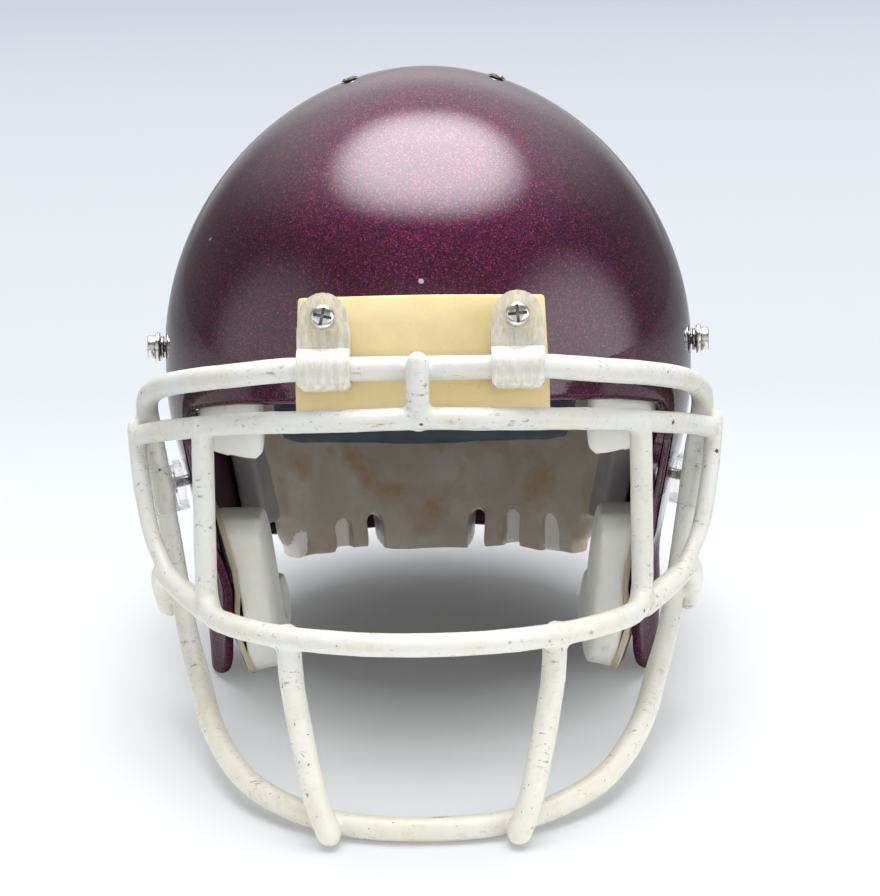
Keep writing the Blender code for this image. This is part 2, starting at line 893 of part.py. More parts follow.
def brow_clip_frame(side):
    """The clip's place on the brow bar: X along the bar, Y into the shell, Z up its tail."""
    wire = Vector((side * clip_spacing / 2, -brow_bar_forward(), brow_bar_height))
    low = brow_point(wire.x, wire.z)
    high = brow_point(wire.x, wire.z + top_tail_length)
    up = Vector((0, high.y - low.y, high.z - low.z)).normalized()
    across = Vector((1, 0, 0))
    inward = up.cross(across)
    return Matrix((
        (across.x, inward.x, up.x, wire.x),
        (across.y, inward.y, up.y, wire.y),
        (across.z, inward.z, up.z, wire.z),
        (0, 0, 0, 1),
    ))


def side_clip_frame(side):
    """The clip's place on the upright: X along the wire, Y into the shell, Z back along its tail."""
    wire, along = side_wire_point(side)
    outward = normal_at(side_point(wire.y + side_screw_back, wire.z, side))
    back = (Vector((0, 1, 0)) - outward * outward.y)
    back = (back - along * back.dot(along)).normalized()
    across = -along * side
    inward = back.cross(across)
    return Matrix((
        (across.x, inward.x, back.x, wire.x),
        (across.y, inward.y, back.y, wire.y),
        (across.z, inward.z, back.z, wire.z),
        (0, 0, 0, 1),
    ))


def clip_screw_axis(frame, along_tail):
    """The screw's point on the shell and its direction outwards, from the clip's own frame."""
    outward = -(frame.to_3x3() @ Vector((0, 1, 0)))
    passing = frame @ Vector((0, 0, along_tail))
    inside = passing - outward * shell_half_width / 2
    return on_shell(inside, outward), outward


def fastener_places(side, label):
    """Each screw or stud: its name, its point on the shell, and its direction outwards."""
    brow, brow_out = clip_screw_axis(brow_clip_frame(side), top_screw_up)
    cheek, cheek_out = clip_screw_axis(side_clip_frame(side), side_screw_back)
    strap = side_point(-stud_forward, stud_height, side)
    return [
        (f"brow_screw_{label}", brow, brow_out),
        (f"side_screw_{label}", cheek, cheek_out),
        (f"strap_stud_{label}", strap, normal_at(strap)),
    ]


def screw_profile(shank, seat=0.0):
    """A pan head over its shank. Height zero is the shell's surface, and the seat is above it."""
    top = seat + screw_head_height
    return [
        (0, top),
        *[(screw_head_radius * r, top - screw_head_height * z) for r, z in PAN_HEAD_SHARES],
        (screw_head_radius, seat),
        (screw_radius, seat),
        (screw_radius, -shank),
        (0, -shank),
    ]


def nut_profile():
    """A T-nut, flange inside the shell and barrel in its wall, with an open bore."""
    bore = screw_radius + screw_hole_gap
    flange_top = -shell_wall - nut_stand_off
    flange_foot = flange_top - nut_flange_height
    return [
        (bore, -barrel_depth),
        (nut_barrel_radius, -barrel_depth),
        (nut_barrel_radius, flange_top),
        (nut_flange_radius, flange_top),
        (nut_flange_radius, flange_foot),
        (bore, flange_foot),
        (bore, -barrel_depth),
    ]


def stud_profile():
    """A chin strap stud: a cap on a neck, and a shank through the shell."""
    seat = seat_gap * 2 + stud_base_height
    under = seat + stud_neck_height
    top = under + stud_cap_height
    return [
        (0, top),
        (stud_cap_radius * stud_cap_flat_share, top),
        (stud_cap_radius, top - stud_cap_height * stud_cap_round_share),
        (stud_cap_radius, under + stud_cap_height * stud_cap_under_share),
        (stud_neck_radius, under),
        (stud_neck_radius, seat),
        (screw_radius, seat),
        (screw_radius, -screw_shank),
        (0, -screw_shank),
    ]


def washer_profile():
    """The dished washer under a chin strap stud."""
    foot = washer_gap
    bore = screw_radius + screw_hole_gap
    top = foot + stud_base_height
    return [
        (bore, top),
        (stud_neck_radius * washer_crown_share, top),
        (stud_base_radius, foot + stud_base_height * washer_rim_share),
        (stud_base_radius, foot),
        (bore, foot),
        (bore, top),
    ]


def fasteners():
    for side, label in SIDES:
        for name, point, outward in fastener_places(side, label):
            place = frame_at(point, outward, (0, 0, 1))
            if name.startswith("brow"):
                seat = brow_clip_stack(side)
                turned(name, screw_profile(screw_shank, seat), place, steel, 14)
            elif name.startswith("side"):
                seat = side_clip_stack(side)
                turned(name, screw_profile(screw_shank, seat), place, steel, 16)
            else:
                turned(name, stud_profile(), place, steel, 16)
                turned(f"strap_washer_{label}", washer_profile(), place, steel, 16)
            nut = name.replace("screw", "nut").replace("stud", "nut")
            turned(nut, nut_profile(), place, steel, 10)
        vent = vent_point(side)
        lip = vent_lip_height + seat_gap
        grommet = [
            (vent_bore, lip),
            (vent_flange * vent_lip_share, lip),
            (vent_flange, seat_gap),
            (vent_radius - seat_gap, seat_gap),
            (vent_radius - seat_gap, -vent_depth),
            (vent_bore, -vent_depth),
            (vent_bore, lip),
        ]
        place = frame_at(vent, normal_at(vent), (0, 1, 0))
        turned(f"vent_grommet_{label}", grommet, place, dark_rubber, 12)


# Nose bumper


def rim_height(y):
    """The brow rim's height over a place forward, on the side outline."""
    rim = brow_rim()
    for near, far in zip(rim, rim[1:]):
        if y <= far[0]:
            share = (y - near[0]) / (far[0] - near[0])
            return near[1] + (far[1] - near[1]) * max(share, 0)
    return rim[-1][1]


def bumper_sheet(name, gap):
    """The bumper's inner face: down the brow and in under the rim, as an open sheet."""
    work = bmesh.new()
    rows = []
    columns = spread(-1, 1, 10)
    for share in spread(0, 1, 4):
        row = []
        for column in columns:
            x = column * bumper_half_width * (bumper_top_share + (1 - bumper_top_share) * share)
            foot = brow_point(x, brow_rim_height, -gap)
            low = rim_height(foot.y) - gap
            high = bumper_top - bumper_arch * column**2
            z = high + (low - high) * share
            row.append(work.verts.new(brow_point(x, z, -gap)))
        rows.append(row)
    row = []
    for column in columns:
        x = column * bumper_half_width
        tucked = brow_point(x, brow_rim_height, bumper_tuck)
        row.append(work.verts.new((x, tucked.y, rim_height(tucked.y) - gap)))
    rows.append(row)
    for upper, lower in zip(rows, rows[1:]):
        for i in range(len(columns) - 1):
            work.faces.new((upper[i], lower[i], lower[i + 1], upper[i + 1]))
    mesh = bpy.data.meshes.new(name)
    work.to_mesh(mesh)
    work.free()
    return mesh


def nose_bumper():
    made = add("nose_bumper", bumper_sheet("nose_bumper", bumper_gap), cream_rubber)
    body = made.modifiers.new("body", "SOLIDIFY")
    body.thickness = bumper_thickness
    body.offset = 1
    body.use_even_offset = True
    bevel(made, bumper_edge, 2, 50)
    for side, label in SIDES:
        name, point, outward = fastener_places(side, label)[0]
        reach = bumper_thickness * 3
        hole = rod(
            f"{name}_bumper_hole",
            point - outward * reach,
            point + outward * reach,
            screw_radius + screw_hole_gap,
        )
        cut(made, hole)
    made = solid_from(made, cream_rubber)
    smooth(made)
    return made


# Loop clips


def clip_back(frame, along_tail, backing):
    """How far the clip's back lies behind the wire's axis, so that it meets its backing."""
    point, outward = clip_screw_axis(frame, along_tail)
    face = point + outward * (backing + seat_gap)
    return (frame.inverted() @ face).y


def brow_clip_stack(side):
    """The height of the brow screw's seat over the shell."""
    frame = brow_clip_frame(side)
    back = clip_back(frame, top_screw_up, 0.0)
    front = loop_radius() - clip_strap_rise
    return back + front + seat_gap


def side_clip_stack(side):
    frame = side_clip_frame(side)
    back = clip_back(frame, side_screw_back, 0.0)
    return back - side_strap_back(frame) + side_strap_thickness + seat_gap


def clip_release():
    """The way in which a side screw leaves its clip when the guard swings up on the brow bar."""
    point, _ = clip_screw_axis(side_clip_frame(1), side_screw_back)
    return Vector((0, brow_bar_height - point.z, point.y + brow_bar_forward())).normalized()


def side_strap_back(frame):
    return clip_back(frame, side_screw_back, seat_gap)


def loop_radius():
    return perimeter_wire / 2 + clip_bore_gap + clip_wall


def loop_clip(name, frame, width, back, front, tail, screw_along, rounded):
    """A moulded strap round a wire: in its own frame X runs along the wire and Z up the tail.

    The back and front are the Y places of the tail's two faces.
    """
    # These turn a flat outline's X and Y into the clip's Y and Z, and into its X and Z
    side_on = Matrix(((0, 0, 1, 0), (1, 0, 0, 0), (0, 1, 0, 0), (0, 0, 0, 1)))
    facing_front = Matrix(((1, 0, 0, 0), (0, 0, -1, 0), (0, 1, 0, 0), (0, 0, 0, 1)))
    outer = loop_radius()
    loop = arc((0, 0), outer, math.degrees(math.acos(front / outer)), loop_end_angle, 10)
    profile = [
        (back, tail),
        (front, tail),
        *loop,
        (back, -outer * loop_foot_share),
    ]
    strap = outline_curve(name, [profile], width / 2, parts, clear_plastic)
    strap.matrix_world = frame @ side_on
    half = width / 2
    if rounded:
        foot = -outer - cut_overrun
        plan = arc((0, tail - half), half * clip_top_share, 0, 180, 10)
        shoulder = tail - half * clip_shoulder_share
        plan += [(-half, shoulder), (-half, foot + clip_chamfer * 2)]
        plan += [(-half + clip_chamfer, foot + clip_chamfer), (-half + clip_chamfer, foot)]
        plan += [(half - clip_chamfer, foot), (half - clip_chamfer, foot + clip_chamfer)]
        plan += [(half, foot + clip_chamfer * 2), (half, shoulder)]
        slab = outline_curve(f"{name}_plan", [plan], outer * 4)
        slab.matrix_world = frame @ facing_front
        cut(strap, slab, "INTERSECT")
        low = math.sqrt(outer**2 - front**2)
        high = screw_along - screw_head_radius
        for share in (-1, 1):
            corner = (share * clip_rib / 2, low)
            far = (share * half * clip_pocket_share, high)
            outline = [corner, (far[0], corner[1]), far, (corner[0], far[1])]
            pocket = outline_curve(f"{name}_pocket_{share}", [outline], clip_pocket_depth)
            pocket.matrix_world = frame @ Matrix.Translation((0, front, 0)) @ facing_front
            cut(strap, pocket)
    bore = perimeter_wire / 2 + clip_bore_gap
    bore_rod = rod(
        f"{name}_bore",
        frame @ Vector((-width, 0, 0)),
        frame @ Vector((width, 0, 0)),
        bore / math.cos(math.pi / rod_sides),
    )
    cut(strap, bore_rod)
    radius = screw_radius + screw_hole_gap
    hole = rod(
        f"{name}_hole",
        frame @ Vector((0, -outer * 2, screw_along)),
        frame @ Vector((0, outer * 2, screw_along)),
        radius,
    )
    cut(strap, hole)
    if not rounded:
        # The tail is open from the screw, so that it swings off from under the head
        away = frame.inverted().to_3x3() @ clip_release()
        aside = Vector((away.z, 0, -away.x)).normalized()
        start = Vector((0, 0, screw_along))
        end = start + away.normalized() * tail * slot_run_share
        corners = (
            start - aside * radius,
            start + aside * radius,
            end + aside * radius * slot_flare_share,
            end - aside * radius * slot_flare_share,
        )
        slot = [(c.x, c.z) for c in corners]
        opened = outline_curve(f"{name}_slot", [slot], outer * 2)
        opened.matrix_world = frame @ facing_front
        cut(strap, opened)
    return strap


def clips():
    bumper_clear = add("clear_bumper", bumper_sheet("clear_bumper", 0.0), None, cutters)
    grown = bumper_clear.modifiers.new("grown", "SOLIDIFY")
    grown.thickness = bumper_thickness + bumper_gap + seat_gap
    grown.offset = 1
    grown.use_even_offset = True
    for side, label in SIDES:
        frame = brow_clip_frame(side)
        # Its back reaches into the bumper's curved face, which then carves it
        back = clip_back(frame, top_screw_up, bumper_thickness * brow_clip_seat_share)
        front = -loop_radius() + clip_strap_rise
        clip = loop_clip(
            f"brow_clip_{label}",
            frame,
            clip_width,
            back,
            front,
            top_tail_length,
            top_screw_up,
            rounded=True,
        )
        cut(clip, bumper_clear)

        frame = side_clip_frame(side)
        back = side_strap_back(frame)
        front = back - side_strap_thickness
        clip = loop_clip(
            f"side_clip_{label}",
            frame,
            side_clip_width,
            back,
            front,
            side_tail_length,
            side_screw_back,
            rounded=False,
        )
        first, last = (side * math.radians(a) for a in flap_skin_angles)
        skin = patch_mesh(
            f"clear_flap_{label}",
            spread(first, last, 8)[::side],
            spread(*flap_skin_level_shares, 6),
            -seat_gap,
        )
        skin_clear = add(f"clear_flap_{label}", skin, None, cutters)
        inward = skin_clear.modifiers.new("inward", "SOLIDIFY")
        inward.thickness = shell_wall * 3
        inward.offset = -1
        cut(clip, skin_clear)


# Liner


def pad_on_form(name, angles, levels, thickness, look, flutes=(), foot_lift=0.0, lift=0.0):
    """A cushion against the shell's inner face, crowned, with drawn-in sides.

    A flute is a column of the sheet that is sewn down into a channel.
    """
    inset = shell_wall + pad_gap - lift
    mesh = patch_mesh(name, angles, levels, inset, foot_lift)
    made = add(name, mesh, look)
    fill = made.vertex_groups.new(name="fill")
    columns = len(angles)
    rows = len(levels)
    for index in range(len(mesh.vertices)):
        row, column = divmod(index, columns)
        edge = row in (0, rows - 1) or column in (0, columns - 1)
        amount = pad_crown_share if edge else 1.0
        if column in flutes:
            amount = pad_flute_share
        fill.add([index], amount, "REPLACE")
    body = made.modifiers.new("body", "SOLIDIFY")
    body.thickness = thickness
    body.offset = -1
    body.vertex_group = "fill"
    soft = made.modifiers.new("soft", "SUBSURF")
    soft.levels = 1
    soft.render_levels = 1
    return made


def clear_of_nuts(pad, nuts):
    """Leaves room in a pad for the T-nuts and screw ends under it."""
    for side, label in SIDES:
        for name, point, outward in fastener_places(side, label):
            if name.split("_")[0] not in nuts:
                continue
            reach = screw_shank + shell_wall
            pocket = rod(
                f"{name}_{pad.name}_pocket",
                point,
                point - outward * reach,
                nut_flange_radius + nut_pocket_gap,
                segments=12,
            )
            cut(pad, pocket)


def front_and_temple_pads():
    half = math.radians(front_pad_half_angle)
    front = pad_on_form(
        "front_pad",
        spread(-half, half, 8),
        spread(brow_pads_top_level_share, front_pad_foot_level_share, 4),
        front_pad_thickness,
        navy_vinyl,
    )
    clear_of_nuts(front, ("brow",))
    for side, label in SIDES:
        near = math.radians(front_pad_half_angle + pad_spacing_angle)
        far = math.radians(temple_pad_end_angle)
        angles = [side * a for a in spread(near, far, 4)][::side]
        pad_on_form(
            f"temple_pad_{label}",
            angles,
            spread(brow_pads_top_level_share, temple_pad_foot_level_share, 4),
            temple_pad_thickness,
            pale_vinyl,
        )


def crown_pads():
    inset = shell_wall + pad_gap
    work = bmesh.new()
    columns = spread(-1, 1, 6)
    rows = [
        [
            work.verts.new(
                on_shell(
                    (
                        crown_pad_half_width * c,
                        crown_pad_half_length * (r + crown_pad_back_share),
                        widest_height,
                    ),
                    (0, 0, 1),
                    inset,
                )
            )
            for c in columns
        ]
        for r in columns
    ]
    for near, far in zip(rows, rows[1:]):
        for i in range(len(columns) - 1):
            work.faces.new((near[i], near[i + 1], far[i + 1], far[i]))
    mesh = bpy.data.meshes.new("crown_pad")
    work.to_mesh(mesh)
    work.free()
    crown = add("crown_pad", mesh, pale_vinyl)
    body = crown.modifiers.new("body", "SOLIDIFY")
    body.thickness = crown_pad_thickness
    body.offset = -1
    soft = crown.modifiers.new("soft", "SUBSURF")
    soft.levels = 1
    soft.render_levels = 1
    for side, label in SIDES:
        near = math.radians(temple_pad_end_angle + pad_spacing_angle)
        far = math.radians(180 - nape_pad_half_angle - pad_spacing_angle)
        angles = [side * a for a in spread(near, far, 6)][::side]
        lateral = pad_on_form(
            f"lateral_pad_{label}",
            angles,
            spread(lateral_pad_top_level_share, lateral_pad_foot_level_share, 4),
            crown_pad_thickness,
            pale_vinyl,
            flutes=(2, 4),
            lift=lateral_pad_lift,
        )
        clear_of_nuts(lateral, ("strap",))


def nape_pads():
    half = math.radians(nape_pad_half_angle)
    nape = pad_on_form(
        "nape_pad",
        spread(math.pi - half, math.pi + half, 10),
        spread(nape_pad_top_level_share, nape_pad_foot_level_share, 4),
        nape_pad_thickness,
        taupe_vinyl,
        foot_lift=nape_foot_lift_share,
    )
    for side, label in SIDES:
        for index, share in enumerate(NAPE_SLOT_SHARES):
            x = side * share * shell_half_width
            half_width = nape_slot_width / 2
            rise = nape_slot_depth - half_width
            plan = arc((0, rise), half_width, 0, 180, 6)
            plan += [(-half_width, -nape_slot_overrun), (half_width, -nape_slot_overrun)]
            slot = outline_curve(f"nape_slot_{label}_{index}", [plan], shell_back / 2)
            foot = on_shell((x, 0, nape_pad_foot), (0, 1, 0), nape_pad_thickness).z
            # The flat outline's X and Y become the helmet's X and Z
            slot.matrix_world = Matrix((
                (1, 0, 0, x),
                (0, 0, -1, shell_back * nape_slot_back_share),
                (0, 1, 0, foot),
                (0, 0, 0, 1),
            ))
            cut(nape, slot)
    pad_on_form(
        "rear_pad",
        spread(math.pi - half, math.pi + half, 8),
        spread(rear_pad_top_level_share, rear_pad_foot_level_share, 5),
        crown_pad_thickness,
        pale_vinyl,
        flutes=(2, 4, 6),
        lift=rear_pad_lift,
    )


def jaw_outline(grow):
    """The boot-shaped cheek of a jaw pad, as (y, z) points: tall in front, with a low horn behind."""
    front = -jaw_pad_front - grow
    back = front + jaw_pad_depth + 2 * grow
    horn = jaw_horn_back + grow
    top = jaw_pad_top + grow
    foot = jaw_pad_foot - grow
    notch = jaw_horn_top * jaw_notch_share
    round_foot = jaw_foot_round
    horn_round = jaw_horn_round
    points = arc((front + round_foot, foot + round_foot), round_foot, 180, 270, 4)
    points += arc((horn - round_foot, foot + round_foot), round_foot, 270, 360, 4)
    points += arc((horn - horn_round, jaw_horn_top + grow - horn_round), horn_round, 0, 180, 4)
    hollow = (back + horn_round * jaw_notch_run_share, notch + horn_round)
    points += arc(hollow, horn_round, *jaw_notch_angles, 3)
    points += arc((back - jaw_top_round, top - jaw_top_round), jaw_top_round, 0, 90, 4)
    points += arc((front + jaw_front_round, top - jaw_front_round), jaw_front_round, 90, 180, 4)
    return points


def cheek_block(name, side, outer_inset, inner_face, collection):
    """A block between the shell's inner face and another face, wider than any jaw piece."""
    work = bmesh.new()
    across = spread(-jaw_pad_front - jaw_pad_edge, jaw_horn_back + jaw_pad_edge, 6)
    up = spread(jaw_pad_foot - jaw_pad_edge, jaw_pad_top + jaw_pad_edge, 6)
    sheets = []
    for face in (lambda y, z: side_point(y, z, side, outer_inset), inner_face):
        sheets.append([[work.verts.new(face(y, z)) for y in across] for z in up])
    for sheet in sheets:
        for low, high in zip(sheet, sheet[1:]):
            for i in range(len(across) - 1):
                work.faces.new((low[i], low[i + 1], high[i + 1], high[i]))
    outer, inner = sheets
    for row_out, row_in in ((outer[0], inner[0]), (outer[-1], inner[-1])):
        for i in range(len(across) - 1):
            work.faces.new((row_out[i], row_out[i + 1], row_in[i + 1], row_in[i]))
    for column in (0, -1):
        for j in range(len(up) - 1):
            work.faces.new((
                outer[j][column],
                outer[j + 1][column],
                inner[j + 1][column],
                inner[j][column],
            ))
    return add(name, mesh_of(work, name), pale_vinyl, collection)


def jaw_piece(name, side, outer_inset, inner_face, grow, look):
    """A block on the cheek, cut to the boot-shaped outline."""
    block = cheek_block(name, side, outer_inset, inner_face, parts)
    outline = outline_curve(f"{name}_outline", [jaw_outline(grow)], opening_reach)
    # The flat outline's X and Y become the helmet's Y and Z
    outline.matrix_world = Matrix(((0, 0, 1, 0), (1, 0, 0, 0), (0, 1, 0, 0), (0, 0, 0, 1)))
    cut(block, outline, "INTERSECT")
    return solid_from(block, look)


def jaw_pads():
    base_inset = shell_wall + jaw_stand_off
    pad_inset = base_inset + jaw_base_thickness + seat_gap
    rise = jaw_pad_top - jaw_pad_foot
    for side, label in SIDES:

        def head_side(y, z):
            share = (z - jaw_pad_foot) / rise
            return (side * (jaw_inner_low + (jaw_inner_high - jaw_inner_low) * share), y, z)

        def base_inside(y, z):
            return side_point(y, z, side, base_inset + jaw_base_thickness)

        pad = jaw_piece(f"jaw_pad_{label}", side, pad_inset, head_side, 0.0, pale_vinyl)
        bevel(pad, jaw_pad_edge, 2, 60)
        pad = solid_from(pad, pale_vinyl)
        smooth(pad, 60)

        base = jaw_piece(
            f"jaw_pad_base_{label}", side, base_inset, base_inside, jaw_base_rim, taupe_plastic
        )
        for index, share in enumerate(JAW_SNAP_SHARES):
            y = -jaw_pad_front + jaw_pad_depth * share[0]
            z = jaw_pad_foot + rise * share[1]
            outward = normal_at(side_point(y, z, side))
            point = side_point(y, z, side, shell_wall) - outward * jaw_snap_gap
            knob = [
                (jaw_snap_radius * r, jaw_stand_off + jaw_base_thickness * z)
                for r, z in JAW_SNAP_KNOB_SHARES
            ]
            knob += [(jaw_snap_foot_radius, seat_gap), (jaw_snap_foot_radius, 0), (0, 0)]
            place = frame_at(point, -outward, (0, 0, 1))
            turned(f"jaw_snap_{label}_{index + 1}", knob, place, steel, 12)
            hole = rod(
                f"jaw_base_hole_{label}_{index + 1}",
                point + outward * jaw_base_thickness,
                point - outward * (jaw_stand_off + jaw_base_thickness * 2),
                jaw_snap_foot_radius + seat_gap,
                segments=12,
            )
            cut(base, hole)


def centre_on_origin():
    """Moves everything back, so that the origin is under the middle of the helmet with its guard."""
    for made in bpy.data.objects:
        made.matrix_world = Matrix.Translation((0, origin_back, 0)) @ made.matrix_world


def main():
    shell()
    guard_wires()
    nose_bumper()
    clips()
    fasteners()
    front_and_temple_pads()
    crown_pads()
    nape_pads()
    jaw_pads()
    centre_on_origin()


main()
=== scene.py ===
import math

import bmesh
import bpy
from mathutils import Matrix, Vector, noise
from mathutils.bvhtree import BVHTree


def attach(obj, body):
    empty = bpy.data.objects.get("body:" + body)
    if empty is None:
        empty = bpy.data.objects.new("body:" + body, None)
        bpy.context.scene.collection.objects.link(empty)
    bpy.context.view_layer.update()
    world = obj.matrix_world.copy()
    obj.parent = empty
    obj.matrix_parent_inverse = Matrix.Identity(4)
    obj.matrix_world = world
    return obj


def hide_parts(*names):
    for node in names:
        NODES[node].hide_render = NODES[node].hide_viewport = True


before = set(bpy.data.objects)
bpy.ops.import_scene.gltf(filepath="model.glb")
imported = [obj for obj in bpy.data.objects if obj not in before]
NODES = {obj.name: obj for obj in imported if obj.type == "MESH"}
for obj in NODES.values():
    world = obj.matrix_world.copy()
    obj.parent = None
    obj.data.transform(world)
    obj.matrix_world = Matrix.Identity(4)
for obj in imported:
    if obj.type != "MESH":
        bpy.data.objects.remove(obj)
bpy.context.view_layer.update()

mm = 0.001
SIDES = ((-1, "left"), (1, "right"))
# The CAD's origin is under the middle of the whole; these forms are laid out from the widest plane
shift = Vector((0, 21.16 * mm, 0))

shell_half_width = 113.3 * mm
shell_front = 119 * mm
shell_back = 155 * mm
shell_rise = 119.4 * mm
shell_skirt = 178 * mm
shell_wall = 4 * mm
plan_fullness = 2.25
crown_fullness = 1.92
shell_lean = math.radians(9)
widest_height = 143 * mm
brow_rim_height = 149 * mm
flap_front = 60 * mm
flap_toe = 46 * mm
flap_heel = 12 * mm
neck_height = 37 * mm
nape_rim_height = 21 * mm
tuck_share = 0.10
tuck_start = 15 * mm
tuck_end = 95 * mm
foot_taper_share = 0.035
rear_taper_share = 0.30
flap_top = 140 * mm
flap_inner = 40 * mm
flap_turn_high = 1.2 * mm
flap_turn_low = 7.3 * mm
flap_flare = 1.4 * mm


# Form of the shell, as in the CAD


def lean(point):
    return Vector((
        point[0],
        point[1] * math.cos(shell_lean) + point[2] * math.sin(shell_lean),
        widest_height - point[1] * math.sin(shell_lean) + point[2] * math.cos(shell_lean),
    ))


def upright(point):
    y = point[1]
    z = point[2] - widest_height
    return (
        point[0],
        y * math.cos(shell_lean) - z * math.sin(shell_lean),
        y * math.sin(shell_lean) + z * math.cos(shell_lean),
    )


def ease(share):
    share = min(max(share, 0.0), 1.0)
    return share * share * (3 - 2 * share)


def fade(value, none, whole):
    """Zero at the first value and one at the second, with soft ends."""
    return ease((value - none) / (whole - none))


def half_width_at(drop, inset):
    tuck = tuck_share * fade(drop, tuck_start, tuck_end)
    return (shell_half_width - inset) * (1 - tuck - foot_taper_share * ease(drop / shell_skirt))


def reach_at(forward, drop, inset):
    if forward:
        return shell_front - inset
    return (shell_back - inset) * (1 - rear_taper_share * ease(drop / shell_skirt))


def shell_point(angle, level, inset=0.0):
    """A point of the outer surface: level 1 is the crown, 0 the widest line, -1 the skirt's foot."""
    tilt = max(level, 0.0) * math.pi / 2
    drop = max(-level, 0.0) * shell_skirt
    across = math.sin(angle)
    along = -math.cos(angle)
    plan = (abs(across) ** plan_fullness + abs(along) ** plan_fullness) ** (-1 / plan_fullness)
    size = plan * abs(math.cos(tilt)) ** (2 / crown_fullness)
    return lean((
        half_width_at(drop, inset) * across * size,
        reach_at(along < 0, drop, inset) * along * size,
        (shell_rise - inset) * math.sin(tilt) ** (2 / crown_fullness) - drop,
    ))


def fullness_at(point, inset=0.0):
    """Below 1 inside the form and above 1 outside it."""
    x, y, z = upright(point)
    drop = max(-z, 0.0)
    across = abs(x) / half_width_at(drop, inset)
    along = abs(y) / reach_at(y < 0, drop, inset)
    plan = (across**plan_fullness + along**plan_fullness) ** (1 / plan_fullness)
    return plan**crown_fullness + (max(z, 0.0) / (shell_rise - inset)) ** crown_fullness


def on_shell(start, direction, inset=0.0):
    """Where a line from a point inside the form leaves it."""
    start = Vector(start)
    direction = Vector(direction).normalized()
    near = 0.0
    far = shell_back + shell_rise
    for _ in range(40):
        middle = (near + far) / 2
        if fullness_at(start + direction * middle, inset) < 1:
            near = middle
        else:
            far = middle
    return start + direction * near


def normal_at(point):
    step = 0.5 * mm
    return Vector([
        fullness_at(point + axis * step) - fullness_at(point - axis * step)
        for axis in (Vector((1, 0, 0)), Vector((0, 1, 0)), Vector((0, 0, 1)))
    ]).normalized()


def side_of(point):
    return 1 if point[0] > 0 else -1


def flap_turn(point):
    """How far the front of a jaw flap turns inward at a point."""
    _, y, z = point
    turn = flap_turn_high * fade(z, flap_top, 100 * mm) + flap_turn_low * fade(z, 78 * mm, 42 * mm)
    return turn * fade(y, -20 * mm, -47 * mm)


def settled(point):
    """The jaw flaps turn inward at the front, and flare a little at the foot."""
    x, y, z = point
    if abs(x) < flap_inner or z > flap_top:
        return Vector(point)
    flare = flap_flare * fade(z, 60 * mm, 30 * mm) * fade(y, 20 * mm, -10 * mm)
    return Vector((x + side_of(point) * (flare - flap_turn(point)), y, z))


def spread(first, last, count):
    return [first + (last - first) * i / count for i in range(count + 1)]


def arc(centre, radius, first, last, count):
    return [
        (
            centre[0] + radius * math.cos(math.radians(a)),
            centre[1] + radius * math.sin(math.radians(a)),
        )
        for a in spread(first, last, count)
    ]


# Looks


class Nodes:
    """Short calls for a node tree."""

    def __init__(self, tree):
        self.tree = tree

    def node(self, kind, **settings):
        made = self.tree.nodes.new(kind)
        for key, value in settings.items():
            setattr(made, key, value)
        return made

    def feed(self, socket, value):
        if isinstance(value, bpy.types.NodeSocket):
            self.tree.links.new(value, socket)
        else:
            socket.default_value = value

    def sum(self, kind, a, b):
        made = self.node("ShaderNodeMath", operation=kind)
        self.feed(made.inputs[0], a)
        self.feed(made.inputs[1], b)
        return made.outputs[0]

    def product(self, a, b):
        return self.sum("MULTIPLY", a, b)

    def camera_ray(self):
        return self.node("ShaderNodeLightPath").outputs["Is Camera Ray"]


